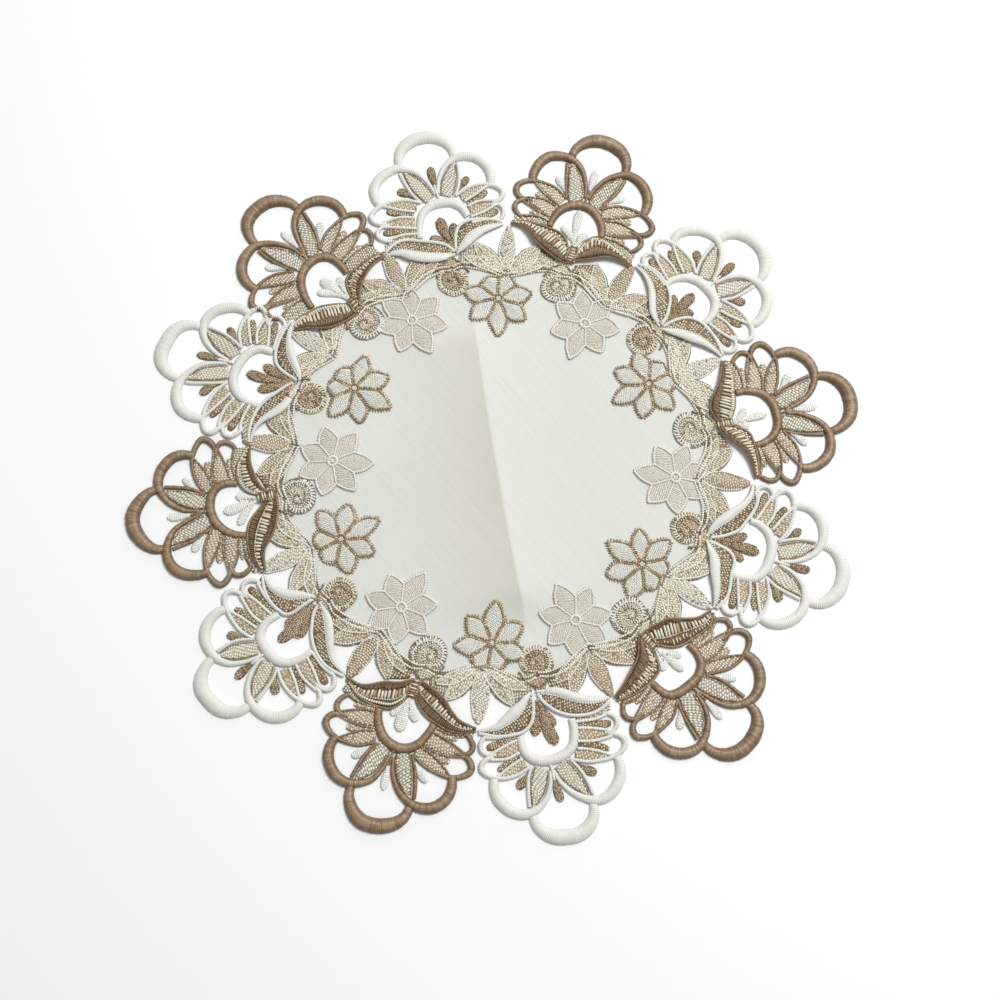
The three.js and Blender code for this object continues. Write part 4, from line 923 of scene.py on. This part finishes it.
def white_leaf(lace, net, shape, m, row, S, rib, slim, area):
    """A white fan's base leaf: a satin band along its lower edge, a dark net above it, a white cord round the top."""
    under, over, middle, share = shape
    place = lace.place
    lace.place = net.place = polar(row[1])
    lo, hi = smooth(under, 60), smooth(over, 60)
    s = np.linspace(0, 1, 60)
    body = Patch(along(lo, s * length_of(lo)[-1]), along(hi, s * length_of(hi)[-1]))

    def up(lift):
        return crest(under, over, lift)

    net.sheet(body, up(0.0), 0.2, M["ground_d"], ns=24, nt=5, reach=0.9)
    area[0] += body.area()
    satin(lace, strip(body, middle, share, least=1.5), up(0.2), S, **{**rib, "tall": (0.45, 0.16)})
    top = middle + share + 0.06
    pearls(lace, body, up(0.25), M["check"], pitch=1.25, bead=1.5, tall=0.6, dome=0.0, reach=(top, 0.80), s0=0.04, s1=0.96, lean=0.2)
    cord(lace, body.at(np.linspace(0.05, 0.95, 16), top - 0.05 + np.zeros(16)), up(0.4), M["cream"], wide=1.0, tall=0.8, notch=0.4)
    satin(lace, strip(body, 0.90, 0.14, least=1.9), up(0.3), S, tall=(0.5, 0.36), **slim)
    # a strip of net between the leaf and the side petals
    outer = hi[np.abs(hi[:, 0]) > 13.5]
    head = 131.0 + row[2] - REACH - 0.012 * (np.abs(outer[:, 0]) - 12) ** 2
    gap = Patch(outer[:, :2] - (0, 0.8), np.stack([outer[:, 0], np.maximum(head, outer[:, 1] + 0.3)], 1))
    net.sheet(gap, table(0.0), 0.2, M["ground_b"], ns=12, nt=3)
    area[0] += gap.area()
    pearls(lace, gap, table(0.2), M["beige"], margin=0.2, lean=0.3 * m)
    lace.place = net.place = place


def make_fan(row):
    kind, name = row[0], row[4]
    place = fan_place(row)
    lace = Piece("lace_" + name, place)
    net = Piece("net_" + name, place)
    brown = kind == "brown"
    S = M[kind]
    cordy = M["twist"] if brown else M["white_c"]
    rib = dict(pitch=0.82, stations=2, depth=0.11, trough=0.34) if brown else dict(pitch=0.9, stations=2, depth=0.05, vary=0.5, tall=(0.6, 0.27))
    slim = dict(pitch=1.05, stations=2, depth=0.20 if brown else 0.10, trough=0.3 if brown else 0.0, section=ARCH, vary=1.0 if brown else 0.6)
    area = [0.0]

    def fill(patch, thread, ground, z=0.3, dome=0.15, **kw):
        net.sheet(patch, table(z) if not callable(z) else z, 0.2, M[ground], dome=dome)
        zz = (lambda xy, p: z(xy, p) + 0.2) if callable(z) else table(z + 0.2)
        pearls(lace, patch, zz, M[thread], dome=dome, **kw)
        area[0] += patch.area()

    def column(rows, z, **kw):
        satin(lace, rows, table(z), S, **kw)
        area[0] += padding(net, rows, table(z * 0.5), M["ground_b"] if brown else M["ground_p"])

    column(both_sides(APEX_LOOP), 0.0, **rib)
    own = OWN[name]
    lace.place = net.place = polar(row[1])
    column(own["ring"], 0.3, **rib)
    lace.place = net.place = place
    if brown:
        centre, side_net, bud, under, bud_under = "cream", "cream_b", "pale_w", "ground_b", "ground_p"
    else:
        centre, side_net, bud, under, bud_under = "cream", "beige", "mocha", "ground_b", "ground_d"
    for m in (-1, 1):
        column(mirrored(SIDE_LOOP, m), 0.25, **rib)
        column(mirrored(UPPER_LOOP[kind], m), 0.35, **slim)
        column(mirrored(LOWER_LOOP[kind], m), 0.4, **slim)
        column(mirrored(PETAL_EDGE, m), 0.2, **slim)
        # centre petal
        petal = leaf([(m * 4.5, 145.4 if brown else 146.8), (m * 7.8, 154.0), (m * 13.4, 164.6)], [(0, 3.6), (0.25, 4.4), (0.5, 4.1), (0.8, 2.2), (1, 0.5)])
        fill(petal, centre, "ground_m" if brown else "ground_e", pitch=1.2, bead=1.7 if brown else 1.5, wide=1.2, margin=0.3, lean=0.4 * m, step=0.3, notch=0.5)
        # a dotted line just inside the petal's edges
        for t in (-0.80, 0.80):
            cord(lace, petal.at(np.linspace(0.06, 0.93, 12), t), table(0.75), M["twist"] if brown else M["dot"],
                 wide=1.0 if brown else 0.85, tall=0.6, bead=1.35, notch=0.75)
        # side petals fan out from the ring, with a narrow bud between each two
        if brown:
            upper = leaf([(m * 10.6, 142.6), (m * 18.8, 146.0), (m * 28.0, 148.0)], [(0, 2.7), (0.3, 3.4), (0.55, 3.0), (0.8, 1.6), (1, 0.3)])
            lower = leaf([(m * 13.2, 135.2), (m * 21.6, 136.6), (m * 31.6, 137.0)], [(0, 3.9), (0.3, 3.7), (0.6, 2.5), (0.85, 1.1), (1, 0.3)])
            bud1 = leaf([(m * 12.4, 139.8), (m * 19.6, 141.4), (m * 26.4, 142.0)], [(0, 1.4), (0.45, 1.6), (0.75, 2.0), (0.93, 1.5), (1, 0.5)])
            bud2 = leaf([(m * 13.4, 130.4), (m * 20.0, 130.9), (m * 26.4, 131.2)], [(0, 1.6), (0.5, 1.5), (0.8, 1.3), (1, 0.4)])
            for b in (upper, lower, bud1, bud2):
                fill(b, side_net, under, z=0.3 if b in (upper, lower) else 0.15, margin=0.25, lean=0.3 * m)
            for rows, w in (([(12.8, 141.0), (18.6, 142.2), (24.2, 145.0), (28.6, 148.2)], 1.3), ([(13.8, 139.6), (19.8, 140.3), (26.0, 139.0), (32.0, 137.4)], 1.2),
                            ([(15.6, 131.8), (22.8, 132.8), (28.0, 134.6), (32.0, 136.2)], 1.3), ([(14.8, 129.4), (22.0, 129.8), (29.6, 127.6)], 1.0)):
                cord(lace, mirrored(rows, m), table(0.8), M["twist"], wide=w, tall=0.85, notch=0.5)
        else:
            upper = leaf([(m * 12.0, 143.8), (m * 18.6, 146.2), (m * 27.6, 147.9)], [(0, 1.9), (0.35, 2.6), (0.7, 1.6), (1, 0.3)])
            lower = leaf([(m * 15.2, 135.6), (m * 21.6, 136.8), (m * 30.4, 137.8)], [(0, 2.8), (0.3, 2.9), (0.65, 1.6), (1, 0.3)])
            for b in (upper, lower):
                fill(b, side_net, under, margin=0.25, lean=0.4 * m)
            bud1 = leaf([(m * 14.6, 140.0), (m * 20.4, 141.8), (m * 27.2, 144.6)], [(0, 0.8), (0.5, 1.5), (0.8, 1.7), (0.94, 1.2), (1, 0.5)])
            bud2 = leaf([(m * 15.4, 130.8), (m * 21.0, 132.0), (m * 30.6, 133.2)], [(0, 1.0), (0.4, 1.5), (0.8, 1.9), (1, 0.9)])
            for b, q in ((bud1, 1.0), (bud2, 0.86)):
                fill(b, "check", "ground_d", z=0.2, margin=0.15, pitch=1.05, bead=1.3, wide=1.0, s1=q)
            for rows in ([(13.8, 141.6), (19.6, 143.8), (28.4, 147.6)], [(14.8, 138.4), (21.0, 140.0), (29.8, 138.8)],
                         [(15.2, 132.4), (22.4, 134.2), (31.4, 136.9)], [(14.8, 129.2), (22.6, 129.8), (29.0, 128.6)]):
                cord(lace, mirrored(rows, m), table(0.55), M["white_c"], wide=1.8, tall=1.15, notch=0.15)
        side_bud = leaf([(m * 10.0, 147.2), (m * 13.6, 151.0), (m * 18.8, 154.8)], BUD)
        fill(side_bud, bud, bud_under, z=0.2, margin=0.2, pitch=0.95, bead=1.15, dome=0.5, **(dict(tall=0.35) if brown else {}))
        # base leaf: curls up along its lower edge
        if brown:
            base_leaf(lace, net, own["left" if m < 0 else "right"], m, row, S, slim, area)
            continue
        white_leaf(lace, net, own["left" if m < 0 else "right"], m, row, S, rib, slim, area)
    # the cord between the centre petals, the apex bud, and the three-part bud in the eye
    cord(lace, [(0.1, 146.6), (0.0, 150.0), (0.0, 154.2)], table(0.5), cordy, wide=1.5, tall=1.1, notch=0.4 if brown else 0.2)
    fill(leaf([(0, 149.6), (0.1, 157.0), (0, 164.6)], BUD), bud, bud_under, z=0.15, margin=0.2, pitch=0.95, bead=1.15, dome=0.5, **(dict(tall=0.3) if brown else {}))
    soft = dict(tall=0.3) if brown else {}
    if brown:
        # in the eye a pale cone with a few brown stitches opens into three drops
        lace.place = net.place = polar(row[1])
        line, broad, left_tip, right_tip = own["bud"]
        hx, h0, h1 = own["stem"]
        cx, cy, ch = own["cone"]
        cone = leaf([(hx, h1 - 1.4), ((hx + cx) / 2, (h1 + cy) / 2), (cx, cy)], [(0, 0.8), (0.3, 1.5), (0.6, ch * 0.62), (0.88, ch), (1, ch * 0.9)])
        fill(cone, bud, bud_under, z=0.15, margin=0.1, pitch=0.95, bead=1.15, dome=0.3, **soft)
        for t, p0, p1 in ((-0.42, 0.35, 0.80), (0.42, 0.35, 0.80), (0.0, 0.15, 0.62)):
            cord(lace, cone.at(np.linspace(p0, p1, 5), t + np.zeros(5)), table(0.75), M["twist"], wide=0.75, tall=0.5, bead=1.9, notch=0.95)
        for tipped in (left_tip, right_tip):
            k = (np.array(tipped) - (hx, h1)) * 0.5 + (hx, h1) + ((hx - tipped[0]) * 0.12, 0)
            fill(leaf([(hx, h1 - 0.6), tuple(k), tipped], [(0, 0.6), (0.4, 1.4), (0.72, 2.2), (0.88, 2.1), (0.96, 1.3), (1, 0.4)]), bud, bud_under,
                 z=0.25, margin=0.15, pitch=0.95, bead=1.15, dome=0.45, **soft)
        fill(leaf(line, [(0, 0.8), (0.4, broad * 0.62), (0.74, broad), (0.87, broad * 0.92), (0.95, broad * 0.58), (1, 0.35)]), bud, bud_under,
             z=0.35, margin=0.15, pitch=0.95, bead=1.15, dome=0.5, **soft)
        # knot where the two base leaves meet: short stitches one above another
        knot = leaf([(hx, h0), (hx, (h0 + h1) / 2), (hx - 0.2, h1)], [(0, 2.4), (0.5, 2.3), (0.85, 1.9), (1, 1.2)])
        net.sheet(knot, table(1.7), 0.2, M["ground_d"], ns=6, nt=2)
        area[0] += knot.area()
        bars(lace, knot, table(1.9), M["ladder"], pitch=1.7, wide=0.95, tall=0.7, reach=(-0.85, 0.85), k=3, section=BEAD, jitter=0.25, ragged=0.3)
        for t in (-0.95, 0.95):
            cord(lace, knot.at(np.linspace(0.02, 0.96, 8), t + np.zeros(8)), table(2.1), M["twist"], wide=1.2, tall=0.9, notch=0.45)
        lace.place = net.place = place
    else:
        lace.place = net.place = polar(row[1])
        for k, (line, broad) in enumerate(own["drops"]):
            fill(leaf(line, [(0, 0.8), (0.4, broad * 0.6), (0.74, broad), (0.87, broad * 0.92), (0.95, broad * 0.58), (1, 0.35)]), bud, bud_under,
                 z=0.25 + 0.05 * k, margin=0.15, pitch=0.95, bead=1.15, dome=0.5)
        lace.place = net.place = place
    a = lace.finish(MATS, name)
    b = net.finish(MATS)
    TRIS[a.name], TRIS[b.name] = lace.tris, net.tris
    return a, b, area[0] * 1e-6


# ================================================================== one spray
def make_spray(i):
    outline, bearing, heart_out, spin, name = SPRAYS[i]
    before, after = FANS[i], FANS[(i + 1) % 12]
    middle = before[1] + wrap(after[1] - before[1]) / 2
    left, right = wrap(before[1] - middle), wrap(after[1] - middle)
    place = polar(middle)
    lace = Piece("lace_" + name, place)
    net = Piece("net_" + name, place)
    brown = outline == "brown"
    leafy, edge, under = ("speck", "cream", "ground_e") if brown else ("beige", "cream", "ground_s")
    drift = math.radians(wrap(bearing - middle))
    heart = np.array([heart_out * math.sin(drift), heart_out * math.cos(drift)])
    area = [0.0]

    def fill(patch, thread, ground, z=0.0, dome=0.12, ns=14, nt=4, **kw):
        net.sheet(patch, over_cloth(z), 0.2, M[ground], dome=dome, ns=ns, nt=nt)
        pearls(lace, patch, over_cloth(z + 0.2), M[thread], dome=dome, **kw)
        area[0] += patch.area()

    # collar: the net that joins the leaves, the spike and the garland
    for m in (-1, 1):
        foot = smooth([(m * 0.2, 99.4), (m * 8.0, 101.6), (m * 16.0, 103.6), (m * 25.0, 104.6)], 60)
        head = smooth([(m * 0.2, 107.0), (m * 5.0, 111.0), (m * 10.0, 113.2), (m * 14.6, 117.2), (m * 20.0, 113.8), (m * 25.0, 109.6)], 60)
        fill(Patch(foot, head), leafy, "ground_m" if brown else "ground_d", z=0.0, margin=0.2, ns=16, pitch=1.3, wide=1.0)
    # spike between the two fans
    spike = leaf([(0, 101.6), (0, 114.0), (0, 127.0)], [(0, 1.8), (0.22, 3.7), (0.46, 4.7), (0.7, 3.7), (0.9, 2.1), (1, 0.8)])
    if brown:
        net.sheet(spike, over_cloth(0.25), 0.2, M["ground_w"], dome=0.35)
        area[0] += spike.area()
        pearls(lace, spike, over_cloth(0.45), M["speck"], pitch=1.15, bead=1.5, wide=1.15, tall=0.5, margin=0.2, dome=0.35, lean=0.55, notch=0.55)
        for t in (-0.9, 0.9):
            cord(lace, spike.at(np.linspace(0.02, 0.9, 14), t + np.zeros(14)), over_cloth(0.3), M["pale"], wide=1.0, tall=0.8, notch=0.45)
    else:
        fill(spike, "beige", "ground_b", z=0.25, pitch=1.25, bead=1.4, wide=1.1, tall=0.7, margin=0.7, dome=0.35, chevron=-0.3)
        for t in (-0.92, 0.92):
            cord(lace, spike.at(np.linspace(0.02, 0.80, 14), t + np.zeros(14)), over_cloth(0.35), M[edge], wide=1.1, tall=0.95, notch=0.4)
    # leaves above the flower
    for m in (-1, 1):
        for spine, w, z in (
            ([(m * 1.6, 101.4), (m * 8.6, 107.6), (m * 16.6, 116.8)], 4.1, 0.35),
            ([(m * 4.6, 101.4), (m * 12.6, 105.8), (m * 21.6, 109.0)], 2.9, 0.5),
        ):
            p = leaf(spine, [(0, 1.4), (0.3, w * 0.86), (0.55, w), (0.82, w * 0.62), (1, 0.4)])
            fill(p, leafy, under, z=z, margin=0.5, lean=0.45 * m, dome=0.25)
            for t in (-0.92, 0.92):
                cord(lace, p.at(np.linspace(0.03, 0.99, 12), t + np.zeros(12)), over_cloth(z + 0.15), M["pale" if brown else edge], wide=1.15, tall=0.9, notch=0.45)
                cord(lace, p.at(np.linspace(0.10, 0.99, 12), t * 1.22 + np.zeros(12)), over_cloth(z + 0.1), M["twist"], wide=0.6, tall=0.6, bead=1.9, notch=0.5)
            cord(lace, p.at(np.linspace(0.1, 0.86, 10), np.zeros(10)), over_cloth(z + 0.4), M["twist"], wide=0.55, tall=0.4, bead=1.4, notch=0.7)
    # garland: two cream cords and a brown one between them, up to the rosette on each side
    for m, end in ((-1, left), (1, right)):
        e = math.radians(end)
        ex, ey = math.sin(e), math.cos(e)
        for off, c, w, nt in (((0.0, "cream_b", 1.4, 0.5), (1.25, "twist", 0.6, 0.7), (2.5, "pale", 1.3, 0.5)) if brown else
                              ((0.0, "cream", 1.4, 0.3), (1.3, "dot", 0.7, 0.6), (2.6, "cream", 1.35, 0.3), (3.7, "dot", 0.6, 0.7))):
            rows = [(m * 0.4, 98.4 + off * 0.75), (m * 7.5, 100.8 + off), (m * 15.0, 102.9 + off),
                    (105.6 * ex - m * 5.0, 103.0 + off * 0.9), (105.4 * ex - m * 0.6, 104.6 * ey + off * 0.7)]
            cord(lace, rows, over_cloth(0.35 if brown else 0.55), M[c], wide=w, tall=0.75 if brown else 0.95, bead=1.2, notch=nt)
    # flower of seven pointed petals
    n, tip, notch, inward = 7, 18.0, 11.6, 20.4
    step = 2 * math.pi / n
    for k in range(n):
        a = drift + math.radians(180 + spin) + k * step
        d = np.array([math.sin(a), math.cos(a)])
        r1 = inward if k == 0 else 13.6 if brown and k in (3, 4) else tip * (1 + 0.03 * math.sin(5 * k + i))
        w = notch * math.sin(step / 2)
        p = leaf([heart + d * 2.2, heart + d * (r1 * 0.5), heart + d * r1],
                 [(0, 0.7), (0.22, w * 0.62), (0.44, w * 0.98), (0.6, w * 1.0), (0.8, w * 0.56), (0.93, w * 0.2), (1, 0.1)])
        if brown:
            fill(p, "pale", "ground_t", z=0.15, notch=0.5, pitch=1.0, bead=1.5, wide=1.0, tall=0.32, margin=0.7, dome=0.35, lean=0.5, fine=False)
        else:
            fill(p, "beige_f", "ground_w", z=0.15, pitch=0.95, bead=1.6, wide=0.8, tall=0.38, margin=0.3, dome=0.3, lean=0.55, fine=False, notch=0.45)
        b = a + step / 2
        e = np.array([math.sin(b), math.cos(b)])
        wide, tone = (1.6, "twist_f") if brown else (1.3, "white_c")
        if not brown:
            cord(lace, [heart + e * 2.2, heart + e * (notch * 0.6), heart + e * (notch + 0.2)], over_cloth(0.45), M[tone], wide=wide * 0.92, tall=0.9, bead=1.25, notch=0.22)
        for sgn in (-1, 1):
            f = a + sgn * step / 2
            g = a + sgn * step * 0.235
            rows = [heart + notch * np.array([math.sin(f), math.cos(f)]),
                    heart + (notch + 0.50 * (r1 - notch)) * np.array([math.sin(g), math.cos(g)]),
                    heart + r1 * d]
            if brown:
                # down to the heart, a little apart from the next petal's
                root = [heart + q * np.array([math.sin(h), math.cos(h)]) for q, h in
                        ((2.4, a + sgn * step * 0.30), (notch * 0.55, a + sgn * step * 0.40))]
                cord(lace, root + [heart + (notch - 0.3) * np.array([math.sin(f - sgn * 0.05), math.cos(f - sgn * 0.05)])] + rows[1:],
                     over_cloth(0.4), M[tone], wide=1.3, tall=0.95, bead=1.25, notch=0.45)
            else:
                cord(lace, rows, over_cloth(0.4), M[tone], wide=wide, tall=0.9, bead=1.25, notch=0.25)
            picots(lace, rows, over_cloth(0.2), M[tone], side=-sgn, pitch=1.3, long=0.75 if brown else 0.35, wide=0.85 if brown else 0.7, tall=0.65 if brown else 0.45)
    ring = [heart + 2.2 * np.array([math.sin(q), math.cos(q)]) for q in np.linspace(0, 2 * math.pi, 13)]
    cord(lace, ring, over_cloth(0.5), M["twist_f" if brown else "white_c"], wide=1.4 if brown else 1.7, tall=1.2, bead=1.15, notch=0.35 if brown else 0.15)
    eye = leaf([heart - (0, 1.3), heart, heart + (0, 1.3)], [(0, 0.8), (0.5, 1.4), (1, 0.8)])
    fill(eye, "cream" if brown else "pale", "ground_w", z=0.5, pitch=0.85, bead=0.9, wide=0.9, margin=0.05, tall=0.5, notch=0.4, ns=6)
    # the rosette at the spray's left end
    q0 = math.radians(left)
    hub = np.array([99.0 * math.sin(q0), 99.0 * math.cos(q0)])
    light = before[0] == "brown"
    # it is a broad band that curls in on itself, with long stitches round its outer side
    ray, core, gr = ("cream", "speck", "ground_e") if light else ("beige", "check", "ground_b")
    size, flip = (8.7, 1) if light else (7.7, -1)

    def whorl(t0, t1, most=1.0, n=80):
        u = np.linspace(0, 1, n) * most
        a = q0 + flip * np.radians(30 + 480 * u)
        d = np.stack([np.sin(a), np.cos(a)], 1)
        r = size * np.interp(u, [0, 0.3, 0.5, 0.7, 0.88, 1], [0.96, 0.74, 0.66, 0.52, 0.36, 0.20])
        h = size * np.interp(u, [0, 0.15, 0.3, 0.5, 0.7, 0.88, 1], [0.16, 0.26, 0.31, 0.28, 0.24, 0.20, 0.14])
        return Patch(hub + d * (r + t0 * h)[:, None], hub + d * (r + t1 * h)[:, None])

    disc = whorl(-1.0, 1.0)
    a = np.linspace(0, 2 * math.pi, 40)
    pad = np.stack([np.sin(a), np.cos(a)], 1)
    net.sheet(Patch(hub + pad * 0.4, hub + pad * size * 0.9), over_cloth(0.02), 0.2, M[gr], ns=26, nt=3)
    area[0] += math.pi * (size * 0.9) ** 2
    pearls(lace, Patch(hub + pad * 0.3, hub + pad * size * 0.66), over_cloth(0.2), M[core], pitch=1.3, bead=1.2, wide=1.0, tall=0.5, margin=0.0)
    pearls(lace, whorl(-1.0, 0.35), over_cloth(0.4), M[core], pitch=1.15, bead=1.2, wide=1.05, tall=0.6, margin=0.1, dome=0.25)
    bars(lace, whorl(0.10, 1.12, 0.62), over_cloth(0.35), M[ray], pitch=1.55 if light else 1.4, wide=1.0, tall=0.95, reach=(-0.95, 1.0), k=4, section=BEAD, jitter=0.2, ragged=0.3, lean=0.3 * flip, s0=0.3 if light else 0.03)
    if light:
        pearls(lace, whorl(0.2, 1.0, 0.2), over_cloth(0.4), M[core], pitch=1.15, bead=1.2, wide=1.05, tall=0.55, margin=0.1, dome=0.2)
    inner, outer, middle_line = whorl(-1.0, -1.0), whorl(1.0, 1.0, 0.66), whorl(0.2, 0.2, 0.7)
    cord(lace, outer.at(np.linspace(0, 1, 40), np.zeros(40)), over_cloth(0.25), M["twist" if light else "check"], wide=0.9, tall=0.6, bead=1.3, notch=0.6)
    cord(lace, middle_line.at(np.linspace(0.02, 1, 40), np.zeros(40)), over_cloth(0.5), M[ray], wide=1.1, tall=0.9, bead=1.25, notch=0.5)
    cord(lace, inner.at(np.linspace(0.42, 1, 40), np.zeros(40)), over_cloth(0.45), M["twist"], wide=1.3, tall=0.95, bead=1.2, notch=0.5)
    # neck from the rosette up to the fan's base leaves
    neck = leaf([hub * (106.2 / 99.0), hub * (109.2 / 99.0), hub * (112.4 / 99.0)], [(0, 6.5), (0.5, 4.2), (1, 2.4)])
    fill(neck, core if not light else "cream_b", gr, z=0.15, pitch=1.15, bead=1.4, wide=0.95, margin=0.2, dome=0.4)
    for m in (-1, 1):
        arch = [hub + np.array([m * 8.6 * math.cos(q0), -m * 8.6 * math.sin(q0)]) * 1.0 + hub / 99.0 * 3.0,
                hub + np.array([m * 5.6 * math.cos(q0), -m * 5.6 * math.sin(q0)]) + hub / 99.0 * 8.6,
                hub * (111.6 / 99.0)]
        cord(lace, arch, over_cloth(0.6), M["twist"], wide=1.3, tall=1.0, notch=0.45)
    a = lace.finish(MATS, name)
    b = net.finish(MATS)
    TRIS[a.name], TRIS[b.name] = lace.tris, net.tris
    return a, b, area[0] * 1e-6


cloth = make_cloth()
for row in FANS:
    a, b, area = make_fan(row)
for i in range(12):
    a, b, area = make_spray(i)
print("TRIANGLES", sum(TRIS.values()), "largest", max(TRIS.values()), {k: v for k, v in list(TRIS.items())[:5] + list(TRIS.items())[-4:]})

# ==================================================================== the stage
floor = bpy.data.meshes.new("floor")
floor.from_pydata([(-3, -3, 0), (3, -3, 0), (3, 3, 0), (-3, 3, 0)], [], [(0, 1, 2, 3)])
ground = bpy.data.objects.new("floor", floor)
bpy.context.scene.collection.objects.link(ground)
fm = bpy.data.materials.new("pale floor")
fm.use_nodes = True
fb = fm.node_tree.nodes["Principled BSDF"]
fb.inputs["Base Color"].default_value = (0.985, 0.985, 0.982, 1)
fb.inputs["Roughness"].default_value = 0.9
fb.inputs["Specular IOR Level"].default_value = 0.2
floor.materials.append(fm)

world = bpy.data.worlds.new("studio")
world.use_nodes = True
world.node_tree.nodes["Background"].inputs[0].default_value = (1.0, 1.0, 1.0, 1)
world.node_tree.nodes["Background"].inputs[1].default_value = 0.34
bpy.context.scene.world = world
box = bpy.data.lights.new("key", "AREA")
box.shape, box.size, box.energy = "DISK", 0.66, 19.2
key = bpy.data.objects.new("key", box)
bpy.context.scene.collection.objects.link(key)
from mathutils import Matrix, Vector
towards = Vector((0.67, 0.575, 1.35))
key.location = towards
key.rotation_euler = (-towards).to_track_quat("-Z", "Y").to_euler()
wash = bpy.data.lights.new("wash", "SUN")
wash.energy = 0.68
wash.angle = math.radians(70)
soft_light = bpy.data.objects.new("wash", wash)
bpy.context.scene.collection.objects.link(soft_light)
soft_light.rotation_euler = Vector((-0.28, -0.74, -0.50)).to_track_quat("-Z", "Y").to_euler()

# camera: 50 mm lens, about 12 degrees off straight down, near side at the bottom of the view
SCALE_PX, FOCAL_PX, TILT, AZ = 2.02, 1388.9, math.radians(-12.2), math.radians(4.5)
U0, V0 = 496.2, 465.3
ax = np.array([math.cos(AZ), math.sin(AZ), 0])
K = np.array([[0, 0, ax[1]], [0, 0, -ax[0]], [-ax[1], ax[0], 0]])
R = np.eye(3) + math.sin(TILT) * K + (1 - math.cos(TILT)) * (K @ K)
D = FOCAL_PX / SCALE_PX * MM
tvec = D * np.array([(U0 - 500) / FOCAL_PX, (V0 - 500) / FOCAL_PX, 1.0])
flip = np.diag([1.0, -1.0, -1.0])
Rb, tb = flip @ R @ flip, flip @ tvec
pos = -Rb.T @ tb + np.array([CENTRE[0] * MM, CENTRE[1] * MM, 0.001])
mat = Matrix.Identity(4)
for r in range(3):
    for c in range(3):
        mat[r][c] = Rb.T[r, c]
    mat[r][3] = pos[r]
cam_data = bpy.data.cameras.new("camera")
cam_data.lens = 36 * FOCAL_PX / 1000
cam_data.sensor_width = 36
cam_data.clip_start = 0.01
cam = bpy.data.objects.new("camera", cam_data)
cam.matrix_world = mat
bpy.context.scene.collection.objects.link(cam)
bpy.context.scene.camera = cam
bpy.context.scene.view_settings.view_transform = "Standard"
